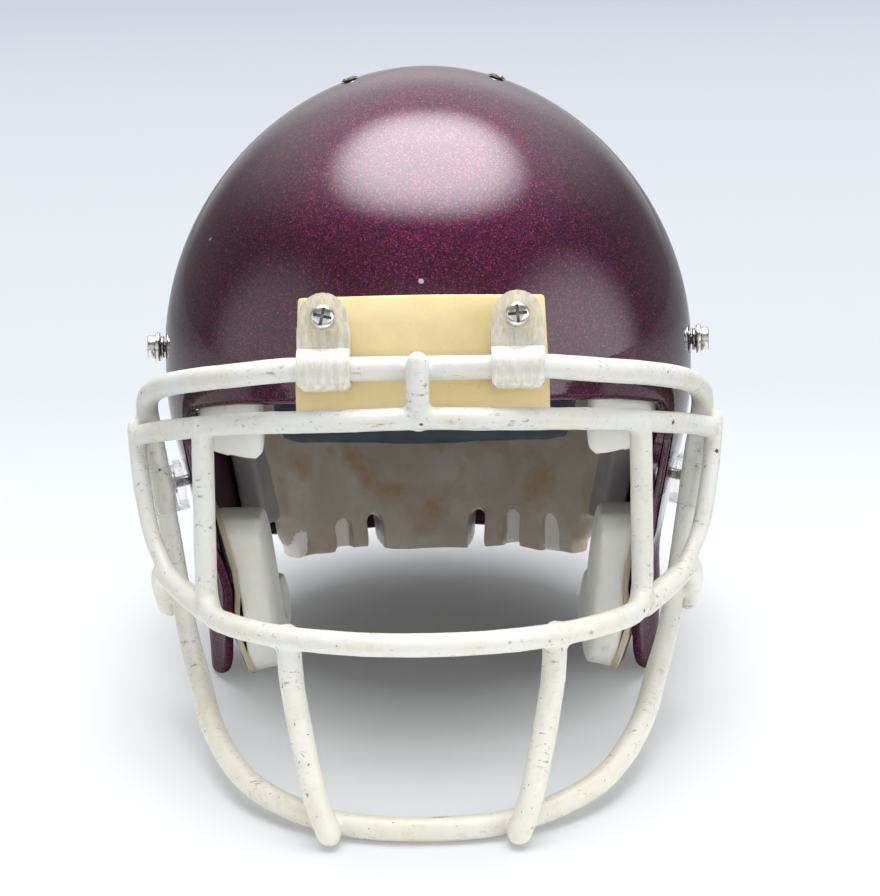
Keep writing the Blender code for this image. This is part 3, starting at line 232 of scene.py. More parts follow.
class Look(Nodes):
    """A material while it is made: its Principled shader, and short calls for the nodes behind it."""

    def __init__(self, name, **values):
        self.material = bpy.data.materials.new(name)
        self.material.use_nodes = True
        super().__init__(self.material.node_tree)
        self.shader = self.tree.nodes["Principled BSDF"]
        for key, value in values.items():
            self.to(key.replace("_", " "), value)
        self.place = self.node("ShaderNodeTexCoord").outputs["Object"]

    def to(self, key, value):
        self.feed(self.shader.inputs[key], value)

    def stretched(self, scale):
        made = self.node("ShaderNodeMapping")
        self.feed(made.inputs["Vector"], self.place)
        made.inputs["Scale"].default_value = scale
        return made.outputs["Vector"]

    def noise(self, size, detail=3.0, rough=0.55, place=None):
        """Soft noise whose features are about this size across."""
        made = self.node("ShaderNodeTexNoise")
        self.feed(made.inputs["Vector"], place or self.place)
        made.inputs["Scale"].default_value = 1 / size
        made.inputs["Detail"].default_value = detail
        made.inputs["Roughness"].default_value = rough
        return made.outputs["Fac"]

    def cells(self, size, output="Color"):
        made = self.node("ShaderNodeTexVoronoi", feature="F1")
        self.feed(made.inputs["Vector"], self.place)
        made.inputs["Scale"].default_value = 1 / size
        return made.outputs[output]

    def ramp(self, value, *stops, smooth=False):
        made = self.node("ShaderNodeValToRGB")
        self.feed(made.inputs["Fac"], value)
        bar = made.color_ramp
        if smooth:
            bar.interpolation = "EASE"
        while len(bar.elements) < len(stops):
            bar.elements.new(0.5)
        for element, (at, colour) in zip(bar.elements, stops):
            element.position = at
            if not hasattr(colour, "__len__"):
                colour = (colour, colour, colour)
            element.color = (*colour, 1)
        return made.outputs["Color"]

    def mix(self, share, a, b, kind="MIX"):
        made = self.node("ShaderNodeMix", data_type="RGBA", blend_type=kind)
        self.feed(made.inputs["Factor"], share)
        for socket, value in ((made.inputs["A"], a), (made.inputs["B"], b)):
            if isinstance(value, tuple) and len(value) == 3:
                value = (*value, 1)
            self.feed(socket, value)
        return made.outputs["Result"]

    def tinted(self, a, b):
        return self.mix(1.0, a, b, "MULTIPLY")

    def part(self, axis, place=None):
        made = self.node("ShaderNodeSeparateXYZ")
        self.feed(made.inputs[0], place or self.place)
        return made.outputs[axis]

    def bump(self, height, depth, under=None):
        made = self.node("ShaderNodeBump")
        self.feed(made.inputs["Height"], height)
        made.inputs["Distance"].default_value = depth
        if under is not None:
            self.feed(made.inputs["Normal"], under)
        return made.outputs["Normal"]

    def pointed(self):
        """Over a half on outward edges, and under it in corners."""
        return self.node("ShaderNodeNewGeometry").outputs["Pointiness"]

    def distance(self, place):
        """How far each point is from a point of the finished helmet."""
        gap = self.node("ShaderNodeVectorMath", operation="DISTANCE")
        self.feed(gap.inputs[0], self.place)
        gap.inputs[1].default_value = place
        return gap.outputs["Value"]

    def spot(self, place, size):
        """One within this ragged distance of a point of the finished helmet, and zero beyond it."""
        ragged = self.product(self.noise(1.6 * mm, 3), size * 1.2)
        reach = self.sum("ADD", self.distance(place), ragged)
        return self.ramp(self.sum("DIVIDE", reach, size * 2), (0.70, 1.0), (0.85, 0.0))

    def spots(self, marks):
        """All these spots in one, each given as its place and size."""
        whole = self.spot(*marks[0])
        for mark in marks[1:]:
            whole = self.sum("MAXIMUM", whole, self.spot(*mark))
        return whole


def lacquer():
    """Deep maroon metallic lacquer under a clear coat, with fine flake and small nicks."""
    look = Look("maroon_flake_lacquer", Metallic=0.92, Coat_Roughness=0.035, Coat_IOR=1.6)
    look.to("Specular Tint", (0.26, 0.11, 0.17, 1))
    # The flaps are rubbed dull
    look.to("Coat Weight", look.ramp(look.part("Z"), (0.055, 0.25), (0.10, 1.0), smooth=True))
    flake = look.cells(0.42 * mm)
    glint = look.ramp(look.part("X", flake), (0.0, 0.35), (0.60, 0.85), (0.90, 1.9), (1.0, 4.2))
    cloud = look.ramp(
        look.noise(45 * mm, 4), (0.35, (0.052, 0.0050, 0.016)), (0.7, (0.066, 0.0065, 0.021))
    )
    tint = look.ramp(
        look.part("Y", flake),
        (0.0, (0.75, 1.6, 3.4)), (0.4, (1, 1, 1)), (0.8, (1.1, 1.0, 1.0)), (1.0, (1.5, 3.0, 1.6)),
    )
    paint = look.tinted(look.tinted(cloud, glint), tint)
    chips = look.ramp(look.noise(2.0 * mm, 2, 0.7), (0.80, 0.0), (0.825, 1.0))
    patchy = look.ramp(look.noise(30 * mm, 2), (0.54, 0.0), (0.62, 1.0))
    chips = look.sum("MAXIMUM", look.product(chips, patchy), look.spots(NICKS))
    look.to("Base Color", look.mix(chips, paint, (0.55, 0.47, 0.48)))
    look.to("Roughness", look.ramp(look.noise(60 * mm, 3), (0.3, 0.48), (0.7, 0.56)))
    look.to("Normal", look.bump(look.part("Y", flake), 0.02 * mm))
    look.to("Coat Normal", look.bump(look.noise(4 * mm, 2), 0.014 * mm))
    return look.material


def liner_side():
    """The raw inside of the shell: dark, dull plastic with overspray."""
    look = Look("shell_inside", Roughness=0.6)
    tone = look.noise(18 * mm, 4)
    tone = look.ramp(tone, (0.3, (0.026, 0.009, 0.016)), (0.75, (0.050, 0.016, 0.028)))
    look.to("Base Color", tone)
    look.to("Normal", look.bump(look.noise(1.2 * mm, 2), 0.03 * mm))
    return look.material


def vinyl_coat():
    """White dipped vinyl over steel, softly uneven, with scuffs, dirt and painted shade in the welds'
    corners, and a few dark chips, one of them a painted shadow in a gap.
    """
    look = Look("white_dipped_vinyl", Subsurface_Weight=0.05, Coat_Weight=0.10, Coat_Roughness=0.3)
    look.to("Subsurface Radius", (0.6 * mm, 0.5 * mm, 0.4 * mm))
    low = look.ramp(look.part("Z"), (0.0, 1.0), (0.10, 0.0))
    tone = look.noise(26 * mm, 5, 0.65)
    warm = look.sum("ADD", look.product(low, 0.25), tone)
    coat = look.ramp(
        warm,
        (0.34, (0.68, 0.685, 0.665)),
        (0.56, (0.675, 0.665, 0.60)),
        (0.90, (0.62, 0.58, 0.46)),
    )
    # Painted shade, with some dirt, darkens the welds' corners
    corner = look.ramp(look.pointed(), (0.42, 0.85), (0.49, 0.0))
    coat = look.mix(corner, coat, (0.33, 0.31, 0.25))
    grey = look.ramp(look.noise(5 * mm, 5, 0.72), (0.55, 0.0), (0.72, 0.5))
    coat = look.mix(grey, coat, (0.47, 0.46, 0.42))
    # Long thin scuffs, in patches
    lines = look.noise(1.3 * mm, 4, 0.65, look.stretched((0.16, 1.0, 0.8)))
    patches = look.ramp(look.noise(14 * mm, 3, 0.6), (0.50, 0.0), (0.60, 1.0))
    scuff = look.product(look.ramp(lines, (0.575, 0.0), (0.64, 1.0)), patches)
    coat = look.mix(look.product(scuff, 0.75), coat, (0.22, 0.19, 0.15))
    specks = look.ramp(look.noise(1.9 * mm, 2, 0.5), (0.715, 0.0), (0.74, 1.0))
    coat = look.mix(look.product(specks, 0.8), coat, (0.09, 0.07, 0.06))
    # Dark chips, and one painted shadow in a gap between wires
    coat = look.mix(look.spots(CHIPS_AND_GAP_SHADE), coat, (0.05, 0.035, 0.03))
    look.to("Base Color", coat)
    look.to("Roughness", look.ramp(look.noise(9 * mm, 4), (0.3, 0.34), (0.7, 0.52)))
    soft = look.bump(look.noise(6 * mm, 3), 0.35 * mm)
    dents = look.bump(look.product(scuff, -1.0), 0.08 * mm, soft)
    look.to("Normal", look.bump(look.noise(0.8 * mm, 2), 0.03 * mm, dents))
    return look.material


def rubber(name, pale, dark):
    look = Look(name)
    tone = look.noise(22 * mm, 5, 0.6)
    spots = look.ramp(look.noise(3 * mm, 3, 0.7), (0.66, 0.0), (0.78, 0.6))
    base = look.ramp(tone, (0.3, dark), (0.7, pale))
    look.to("Base Color", look.mix(spots, base, tuple(c * 0.72 for c in dark)))
    look.to("Roughness", look.ramp(look.noise(5 * mm, 3), (0.3, 0.42), (0.75, 0.62)))
    look.to("Normal", look.bump(look.noise(1.2 * mm, 3), 0.05 * mm))
    return look.material


def cloudy_plastic(name, clarity, middle, edge):
    """Old clear plastic, a little milky: see-through face on, and whiter where it turns away, partly
    its milkiness and partly a painted rim reflection; its stretched streak pattern is painted inner
    reflection.
    """
    look = Look(name, IOR=1.46, Transmission_Weight=clarity, Coat_Weight=0.6)
    # Painted inner reflections: a stretched streak pattern that varies the colour, clearness and
    # roughness
    reflection_streaks = look.noise(3 * mm, 4, 0.6, look.stretched((1.6, 1.0, 0.35)))
    look.to("Base Color", look.ramp(reflection_streaks, (0.3, (0.98, 0.97, 0.92)), (0.75, (0.86, 0.84, 0.76))))
    # Partly milkiness, partly a painted rim reflection: more opaque and whiter where the surface
    # turns away
    turned_away = look.node("ShaderNodeLayerWeight").outputs["Facing"]
    body = look.ramp(turned_away, (0.05, middle), (0.75, edge))
    cloud = look.ramp(reflection_streaks, (0.42, 0.75), (0.62, 1.25))
    look.to("Alpha", look.sum("MINIMUM", look.product(body, cloud), 1.0))
    look.to("Roughness", look.ramp(reflection_streaks, (0.3, 0.10), (0.75, 0.26)))
    look.to("Normal", look.bump(look.noise(1.5 * mm, 2), 0.07 * mm))
    return look.material


def plated(name, wear, uneven=0.03 * mm):
    look = Look(name, Metallic=1.0)
    tone = look.noise(1.6 * mm, 4, 0.7)
    rust = look.ramp(look.noise(2.4 * mm, 3, 0.6), (0.60, 0.0), (0.74, wear))
    base = look.ramp(tone, (0.3, (0.56, 0.55, 0.52)), (0.7, (0.74, 0.73, 0.71)))
    # Painted shade, with some dirt, darkens the recesses and the corners between parts
    corners = look.node("ShaderNodeAmbientOcclusion", samples=6)
    corners.inputs["Distance"].default_value = 2.2 * mm
    recess_shade_and_dirt = look.ramp(corners.outputs["AO"], (0.25, 1.0), (0.85, 0.0))
    base = look.mix(recess_shade_and_dirt, base, (0.05, 0.045, 0.04))
    look.to("Base Color", look.mix(rust, base, (0.20, 0.14, 0.09)))
    look.to("Roughness", look.ramp(tone, (0.3, 0.12), (0.75, 0.28)))
    look.to("Normal", look.bump(look.noise(1.6 * mm, 3), uneven))
    return look.material


def vinyl(
    name, pale, dark, stain=None, stain_from=0.55, stain_size=11 * mm, sheen=0.08, dots=(), blots=(),
):
    """Soft vinyl over foam: fine grain, faint wrinkles, patchy colour and stains."""
    look = Look(name, Sheen_Weight=sheen, Sheen_Roughness=0.5, Specular_IOR_Level=0.35)
    tone = look.noise(26 * mm, 4, 0.6)
    base = look.ramp(tone, (0.32, dark), (0.68, pale))
    if stain is not None:
        spots = look.noise(stain_size, 4, 0.58)
        base = look.mix(look.ramp(spots, (stain_from, 0.0), (stain_from + 0.16, 0.85)), base, stain)
    for place, size in blots:
        reach = look.sum("ADD", look.sum("DIVIDE", look.distance(place), size), look.noise(9 * mm, 3))
        base = look.mix(look.ramp(reach, (0.7, 0.75), (1.5, 0.0), smooth=True), base, stain)
    for place, size in dots:
        base = look.mix(look.spot(place, size), base, (0.04, 0.03, 0.03))
    look.to("Base Color", base)
    look.to("Roughness", look.ramp(look.noise(7 * mm, 3), (0.3, 0.40), (0.7, 0.58)))
    creases = look.noise(9 * mm, 4, 0.6, look.stretched((1.0, 1.0, 0.35)))
    grain = look.cells(0.9 * mm, "Distance")
    look.to("Normal", look.bump(grain, grain_depth, look.bump(creases, crease_depth)))
    return look.material


crease_depth = 0.36 * mm
grain_depth = 0.042 * mm

# Marks at points of the finished helmet, each with its size
CHIPS_AND_GAP_SHADE = (
    ((-0.1155, -0.0495, 0.1417), 0.8 * mm),
    ((0.1182, -0.0485, 0.1133), 0.9 * mm),
    ((0.0952, -0.0828, 0.1561), 1.0 * mm),
    ((0.0981, -0.0802, 0.1352), 1.7 * mm),
    # A painted shadow where the mouth wire's lower bar and the right cheek strut leave a gap
    ((0.0848, -0.1123, 0.0695), 1.6 * mm),
    ((-0.1186, -0.0500, 0.1277), 1.0 * mm),
    ((-0.1113, -0.0399, 0.1058), 0.7 * mm),
    ((-0.0885, -0.0939, 0.1287), 0.7 * mm),
    ((-0.0756, -0.1068, 0.1639), 0.8 * mm),
    ((-0.0001, -0.1246, 0.1485), 0.7 * mm),
)
NICKS = (
    ((0.0, -0.0856, 0.194), 1.0 * mm),
    ((-0.0862, -0.0350, 0.2018), 0.8 * mm),
    ((-0.0866, -0.0354, 0.1990), 0.7 * mm),
)
PAD_DOTS = (((-0.0781, -0.0249, 0.0732), 0.9 * mm),)


def on_nape(x, z):
    """A point near the nape pad's inner face, in the finished helmet."""
    return on_shell((x, 20 * mm, z), (0, 1, 0), shell_wall + 17 * mm) + shift


NAPE_BLOTS = (
    (on_nape(-57 * mm, 47 * mm), 14 * mm),
    (on_nape(-8 * mm, 68 * mm), 12 * mm),
    (on_nape(70 * mm, 34 * mm), 13 * mm),
)

maroon = lacquer()
inside = liner_side()
white_coat = vinyl_coat()
cream_rubber = rubber("cream_bumper_rubber", (0.80, 0.66, 0.36), (0.70, 0.55, 0.27))
dark_rubber = rubber("dark_grommet_rubber", (0.05, 0.05, 0.05), (0.03, 0.03, 0.03))
clear = cloudy_plastic("cloudy_clear_plastic", 0.25, 0.50, 0.95)
clearer = cloudy_plastic("clean_clear_plastic", 0.6, 0.10, 0.75)
steel = plated("plated_steel_worn", 0.7)
nickel = plated("bright_nickel", 0.1, 0.008 * mm)
navy = vinyl("navy_pad_vinyl", (0.006, 0.018, 0.027), (0.004, 0.012, 0.018), sheen=0)
pale = vinyl(
    "off_white_pad_vinyl", (0.80, 0.80, 0.75), (0.73, 0.72, 0.65), (0.48, 0.42, 0.31), 0.64,
    dots=PAD_DOTS,
)
taupe = vinyl(
    "taupe_pad_vinyl", (0.58, 0.53, 0.46), (0.47, 0.40, 0.32), (0.42, 0.29, 0.15), 0.52, 30 * mm,
    blots=NAPE_BLOTS,
)
grey_taupe = vinyl("grey_taupe_vinyl", (0.36, 0.33, 0.34), (0.28, 0.25, 0.26))
light_taupe = vinyl("light_taupe_vinyl", (0.92, 0.87, 0.82), (0.84, 0.79, 0.74))
tan_plastic = rubber("tan_base_plastic", (0.52, 0.44, 0.30), (0.42, 0.34, 0.22))


# Making pieces


def placed(name, data):
    """A new object in the scene."""
    made = bpy.data.objects.new(name, data)
    bpy.context.scene.collection.objects.link(made)
    return made


def coat(mesh, *looks):
    """Gives the mesh these looks. Clearing old ones also resets which face has which."""
    if mesh.materials:
        mesh.materials.clear()
    for look in looks:
        mesh.materials.append(look)


def add(name, mesh, body, replaces, degrees=45):
    """A finished piece, moved to the CAD's origin, riding on its body."""
    made = placed(name, mesh)
    mesh.transform(Matrix.Translation(shift))
    mesh.shade_smooth()
    mesh.set_sharp_from_angle(angle=math.radians(degrees))
    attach(made, body)
    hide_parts(*replaces)
    return made


def mesh_of(work, name):
    bmesh.ops.recalc_face_normals(work, faces=work.faces)
    mesh = bpy.data.meshes.new(name)
    work.to_mesh(mesh)
    work.free()
    return mesh


def apply(mesh, *setups):
    """The mesh after modifiers. Each setup is (kind, {setting: value})."""
    made = placed("work", mesh)
    for kind, settings in setups:
        modifier = made.modifiers.new(kind, kind)
        for key, value in settings.items():
            setattr(modifier, key, value)
    graph = bpy.context.evaluated_depsgraph_get()
    graph.update()
    done = bpy.data.meshes.new_from_object(made.evaluated_get(graph))
    done.name = mesh.name
    bpy.data.objects.remove(made, do_unlink=True)
    return done


def remeshed(mesh, voxel, iterations):
    return apply(
        mesh,
        ("REMESH", {"mode": "VOXEL", "voxel_size": voxel}),
        ("SMOOTH", {"factor": 0.5, "iterations": iterations}),
    )


def push(mesh, amount):
    """Moves each point along its normal, by the amount for its place."""
    ways = [v.normal.copy() for v in mesh.vertices]
    for v, way in zip(mesh.vertices, ways):
        v.co += way * amount(v.co)


def carve(mesh, cutters, solver="EXACT"):
    """The mesh with each cutter mesh taken from it."""
    tools = [placed("cutter", cutter) for cutter in cutters]
    setups = [
        ("BOOLEAN", {"operation": "DIFFERENCE", "solver": solver, "object": tool}) for tool in tools
    ]
    done = apply(mesh, *setups)
    for tool in tools:
        bpy.data.objects.remove(tool, do_unlink=True)
    return done


def frame_at(point, outward, up=(0, 0, 1)):
    z = Vector(outward).normalized()
    x = Vector(up).cross(z).normalized()
    y = z.cross(x)
    return Matrix((
        (x[0], y[0], z[0], point[0]),
        (x[1], y[1], z[1], point[1]),
        (x[2], y[2], z[2], point[2]),
        (0, 0, 0, 1),
    ))


turned_sides = 48
wire_sides = 16


def round_turns(sides):
    return [2 * math.pi * i / sides for i in range(sides)]


def turned_mesh(name, profile, place):
    """A turned solid: the profile holds (radius, height) pairs from the top down."""
    work = bmesh.new()
    rings = []
    sides = turned_sides
    for radius, height in profile:
        turns = round_turns(sides) if radius else [0]
        rings.append(
            [work.verts.new((radius * math.cos(a), radius * math.sin(a), height)) for a in turns]
        )
    for upper, lower in zip(rings, rings[1:]):
        for i in range(sides):
            j = (i + 1) % sides
            if len(upper) == 1:
                work.faces.new((upper[0], lower[i], lower[j]))
            elif len(lower) == 1:
                work.faces.new((upper[i], lower[0], upper[j]))
            else:
                work.faces.new((upper[i], lower[i], lower[j], upper[j]))
    bmesh.ops.remove_doubles(work, verts=work.verts, dist=0.001 * mm)
    work.transform(place)
    return mesh_of(work, name)


def smooth_route(stations, step, cyclic=False):
    """Points along a smooth curve through the stations, about one step apart."""
    stations = [Vector(s) for s in stations]
    count = len(stations)
    route = []
    for i in range(count if cyclic else count - 1):
        here = stations[i]
        there = stations[(i + 1) % count]
        before = stations[i - 1] if cyclic or i > 0 else here - (there - here)
        after = stations[(i + 2) % count] if cyclic or i + 2 < count else there + (there - here)
        run = (there - here).length
        leave = (there - before) * run / max((there - here).length + (here - before).length, step)
        arrive = (after - here) * run / max((after - there).length + (there - here).length, step)
        pieces = max(1, round(run / step))
        for j in range(pieces):
            t = j / pieces
            route.append(
                here * (2 * t**3 - 3 * t**2 + 1)
                + leave * (t**3 - 2 * t**2 + t)
                + there * (3 * t**2 - 2 * t**3)
                + arrive * (t**3 - t**2)
            )
    if not cyclic:
        route.append(stations[-1])
    return route


def tube_into(work, route, radius, cyclic):
    """Adds a wire along the route to the bmesh, with rounded ends."""
    count = len(route)
    sides = wire_sides
    turn = None
    rings = []
    for i, point in enumerate(route):
        ahead = route[(i + 1) % count] if cyclic or i + 1 < count else point
        behind = route[i - 1] if cyclic or i > 0 else point
        along = (ahead - behind).normalized()
        if turn is None:
            turn = along.orthogonal().normalized()
        turn = (turn - along * turn.dot(along)).normalized()
        rings.append((point, along, turn, radius))
    if not cyclic:
        for end, way in ((0, -1), (-1, 1)):
            point, along, side, _ = rings[end]
            caps = [
                (point + along * way * radius * math.sin(a), along, side, radius * math.cos(a))
                for a in (0.5, 0.95, 1.3)
            ]
            rings = caps[::-1] + rings if way < 0 else rings + caps
    verts = []
    for point, along, side, size in rings:
        other = along.cross(side)
        verts.append([
            work.verts.new(point + (side * math.cos(a) + other * math.sin(a)) * size)
            for a in round_turns(sides)
        ])
    pairs = list(zip(verts, verts[1:]))
    if cyclic:
        pairs.append((verts[-1], verts[0]))
    for lower, upper in pairs:
        for k in range(sides):
            m = (k + 1) % sides
            work.faces.new((lower[k], lower[m], upper[m], upper[k]))
    if not cyclic:
        work.faces.new(list(reversed(verts[0])))
        work.faces.new(verts[-1])


def cad_mesh(node):
    """A copy of a CAD node's mesh in the layout frame, with its doubled points joined."""
    work = bmesh.new()
    work.from_mesh(NODES[node].data)
    bmesh.ops.remove_doubles(work, verts=work.verts, dist=0.02 * mm)
    work.transform(Matrix.Translation(-shift))
    return mesh_of(work, node)


def grid_faces(work, sheet):
    for upper, lower in zip(sheet, sheet[1:]):
        for c in range(len(upper) - 1):
            work.faces.new((upper[c], upper[c + 1], lower[c + 1], lower[c]))


def slab_into(work, place, rows, columns, layers):
    """Adds a closed slab of two sheets: place(row, column, layer) gives their points."""
    sheets = [
        [[work.verts.new(place(r, c, layer)) for c in columns] for r in rows] for layer in layers
    ]
    for sheet in sheets:
        grid_faces(work, sheet)
    outer, inner = sheets
    for end in (0, -1):
        grid_faces(work, (outer[end], inner[end]))
        grid_faces(work, ([row[end] for row in outer], [row[end] for row in inner]))


# Shell


BROW_SHARES = ((0.0, 1.0), (0.19, 0.960), (0.385, 0.903))
NECKLINE_SHARES = (
    (0.0, 0.07), (0.05, 0.20), (0.10, 0.40), (0.16, 0.63), (0.22, 0.82), (0.29, 0.955), (0.36, 1.0),
    (0.44, 0.975), (0.52, 0.90), (0.61, 0.77), (0.70, 0.647), (0.78, 0.585), (0.86, 0.568),
)
beyond_shell = 220 * mm
toe_corner = 22.4 * mm
cheek_corner = 13.9 * mm
cheek_corner_height = 112.6 * mm
ear_back = 14 * mm
ear_height = 88 * mm
ear_radius = 13 * mm
vent_offset = 31 * mm
vent_back = 2 * mm
vent_radius = 2.9 * mm
hole_reach = 12 * mm


def side_outline():
    """The face opening and the neckline, as (y, z) points of the region that is open."""
    far = beyond_shell
    run = shell_back - flap_heel
    points = [(-far, brow_rim_height)]
    points += [(-shell_front + shell_front * y, brow_rim_height * z) for y, z in BROW_SHARES]
    points += arc((-flap_front - cheek_corner, cheek_corner_height), cheek_corner, 62, 0, 8)
    points.append((-flap_front + toe_corner * 0.05, neck_height * 2))
    points.append((-flap_front + toe_corner * 0.25, neck_height))
    points += arc((-flap_toe + toe_corner, toe_corner), toe_corner, 185, 270, 14)
    points += [(-flap_heel + run * y, neck_height * z) for y, z in NECKLINE_SHARES]
    points += [(far, nape_rim_height), (far, -far), (-far, -far)]
    return points


def in_region(point, region):
    y, z = point[1], point[2]
    inside_it = False
    for (y0, z0), (y1, z1) in zip(region, region[1:] + region[:1]):
        if (z0 > z) != (z1 > z) and y < y0 + (y1 - y0) * (z - z0) / (z1 - z0):
            inside_it = not inside_it
    return inside_it


def rim_columns(gap):
    """The shell's rim as (angle, level) pairs, evenly spaced along it, all the way round."""
    region = side_outline()
    half = []
    for angle in spread(0, math.pi, 720):
        high = 0.35
        low = high
        while low > -1 and not in_region(shell_point(angle, low), region):
            high = low
            low -= 0.02
        for _ in range(12):
            middle = (high + low) / 2
            if in_region(shell_point(angle, middle), region):
                low = middle
            else:
                high = middle
        half.append((angle, high))
    points = [shell_point(a, v) for a, v in half]
    runs = [0.0]
    for p, q in zip(points, points[1:]):
        runs.append(runs[-1] + (q - p).length)
    count = round(runs[-1] / gap)
    columns = []
    k = 0
    for i in range(count + 1):
        want = runs[-1] * i / count
        while k < len(runs) - 2 and runs[k + 1] < want:
            k += 1
        share = (want - runs[k]) / max(runs[k + 1] - runs[k], 1e-9)
        columns.append(tuple(a + (b - a) * share for a, b in zip(half[k], half[k + 1])))
    return columns + [(-a, v) for a, v in reversed(columns[1:-1])]


def shell():
    columns = rim_columns(2.4 * mm)
    rows = 64
    work = bmesh.new()
    count = len(columns)
    outer = [work.verts.new(shell_point(0, 1))]
    top = shell_point(0, 1)
    inner = [work.verts.new(top - normal_at(top) * shell_wall)]
    rings = []
    for r in range(1, rows + 1):
        share = (r / rows) ** 0.92
        rings.append([shell_point(a, 1 + (v - 1) * share) for a, v in columns])
    # The rim is rounded over the wall's thickness, and its roundest line is on the outline
    last = rings[-1]
    half = shell_wall / 2
    downs = []
    for i, p in enumerate(last):
        along = (last[(i + 1) % count] - last[i - 1]).normalized()
        down = along.cross(normal_at(p)).normalized()
        downs.append(-down if down.dot(p - rings[-2][i]) < 0 else down)
    rings[-1] = [p - down * half * 0.8 for p, down in zip(last, downs)]
    normals = [[normal_at(p) for p in ring] for ring in rings]
    lines = [[work.verts.new(p) for p in ring] for ring in rings]
    for a in (0.25, 0.5, 0.75):
        turn = math.pi * a
        lines.append([
            work.verts.new(p - out * half * (1 - math.cos(turn)) + down * half * 0.8 * math.sin(turn))
            for p, out, down in zip(rings[-1], normals[-1], downs)
        ])
    for ring, ways in zip(reversed(rings), reversed(normals)):
        lines.append([work.verts.new(p - n * shell_wall) for p, n in zip(ring, ways)])
    for i in range(count):
        j = (i + 1) % count
        work.faces.new((outer[0], lines[0][i], lines[0][j]))
        work.faces.new((inner[0], lines[-1][j], lines[-1][i])).material_index = 1
    inward = rows + 3
    for r, (upper, lower) in enumerate(zip(lines, lines[1:])):
        for i in range(count):
            j = (i + 1) % count
            face = work.faces.new((upper[i], lower[i], lower[j], upper[j]))
            face.material_index = int(r >= inward)
    mesh = mesh_of(work, "shell_skin")
    coat(mesh, maroon, inside)
    holes = []
    for side, _ in SIDES:
        ear = on_shell((0, ear_back, ear_height), (side, 0, 0))
        vent = on_shell((side * vent_offset, vent_back, widest_height), (0, 0, 1))
        for point, radius in ((ear, ear_radius), (vent, vent_radius)):
            place = frame_at(point, normal_at(point), (0, 1, 0.1))
            profile = ((0, hole_reach), (radius, hole_reach), (radius, -hole_reach), (0, -hole_reach))
            holes.append(turned_mesh("hole", profile, place))
    mesh = carve(mesh, holes, "FAST")
    for v in mesh.vertices:
        v.co = settled(v.co)
    add("shell_skin", mesh, "helmet", ["shell"], degrees=40)


# Face guard

perimeter_wire = 9.2 * mm
brow_wire = 9.2 * mm
lower_wire = 8.5 * mm
mouth_wire = 8.7 * mm
strut_wire = 8.6 * mm
cheek_wire = 9.4 * mm
arc_wire = 7.2 * mm
guard_half_width = 116.5 * mm
guard_reach = 186 * mm
brow_forward = 134 * mm
brow_height = 167 * mm
lower_forward = 141.5 * mm
lower_height = 149.7 * mm
mouth_half = 85.5 * mm
mouth_forward = 184 * mm
mouth_end_forward = 120 * mm
mouth_height = 77 * mm
mouth_sag = 11 * mm
mouth_bend = 11 * mm
brow_straight_half = 44 * mm
strut_head_half = 48 * mm
strut_foot_half = 35 * mm
route_step = 2.2 * mm
coat_swell = 0.12 * mm
guard_offset = 1.1 * mm
guard_drawn_in = 1.4 * mm

PERIMETER_SHARES = (
    (0.592, 0.688, 0.980), (0.815, 0.522, 0.916), (0.945, 0.384, 0.855), (0.992, 0.316, 0.800),
    (0.990, 0.301, 0.735), (0.972, 0.303, 0.660), (0.943, 0.317, 0.520), (0.905, 0.354, 0.375),
    (0.856, 0.436, 0.245), (0.797, 0.530, 0.163), (0.725, 0.680, 0.109), (0.600, 0.830, 0.066),
    (0.438, 0.925, 0.043), (0.240, 0.983, 0.030),
)
LOWER_BAR_SHARES = (
    (0.260, 0.985, 0.992), (0.590, 0.880, 0.960), (0.830, 0.680, 0.893), (0.945, 0.530, 0.845),
    (1.008, 0.475, 0.822),
)
ARC_SHARES = (
    (1.036, 0.322, 1.612), (1.026, 0.352, 1.500), (1.008, 0.390, 1.330), (0.970, 0.440, 1.090),
    (0.895, 0.515, 0.925),
)
CHEEK_SHARES = (
    (0.952, 0.340, 0.600), (0.953, 0.402, 0.779), (0.923, 0.484, 0.922), (0.858, 0.552, 0.909),
    (0.735, 0.652, 0.857),
)


def stations(shares, across, forward, up, side=1):
    return [Vector((side * x * across, -y * forward, z * up)) for x, y, z in shares]


def mirrored(half):
    return [Vector((-p.x, p.y, p.z)) for p in reversed(half)]


def perimeter_route():
    half = [
        Vector((brow_straight_half, -brow_forward, brow_height)),
        Vector((brow_straight_half + perimeter_wire / 2, -brow_forward, brow_height)),
    ]
    half += stations(PERIMETER_SHARES, guard_half_width, guard_reach, brow_height)
    middle = Vector((0, -brow_forward, brow_height))
    chin = Vector((0, -guard_reach, perimeter_wire / 2))
    return smooth_route([middle, *half, chin, *mirrored(half)], route_step, cyclic=True)


def mouth_arch():
    depth = mouth_forward - mouth_end_forward
    radius = (mouth_half**2 + depth**2) / (2 * depth)
    sweep = math.asin(min(mouth_half / radius, 1))
    points = []
    for a in spread(-sweep, sweep, 16):
        forward = mouth_forward - radius * (1 - math.cos(a))
        share = (mouth_forward - forward) / depth
        points.append(Vector((radius * math.sin(a), -forward, mouth_height - mouth_sag * share)))
    return points


def mouth_stations(lower_bar):
    arch = mouth_arch()
    top = min(lower_bar, key=lambda p: abs(p.x - mouth_half))
    ends = []
    for corner, inward in ((arch[0], arch[1]), (arch[-1], arch[-2])):
        high = Vector((side_of(corner) * (mouth_half - 1 * mm), top.y, top.z))
        down = (high - corner).normalized() * mouth_bend
        along = (inward - corner).normalized() * mouth_bend
        turn = [corner + down, corner + (down + along) * 0.3, corner + along]
        ends.append([high, (high + turn[0]) / 2, *turn])
    left, right = ends
    return [*left, *arch[2:-2], *reversed(right)]


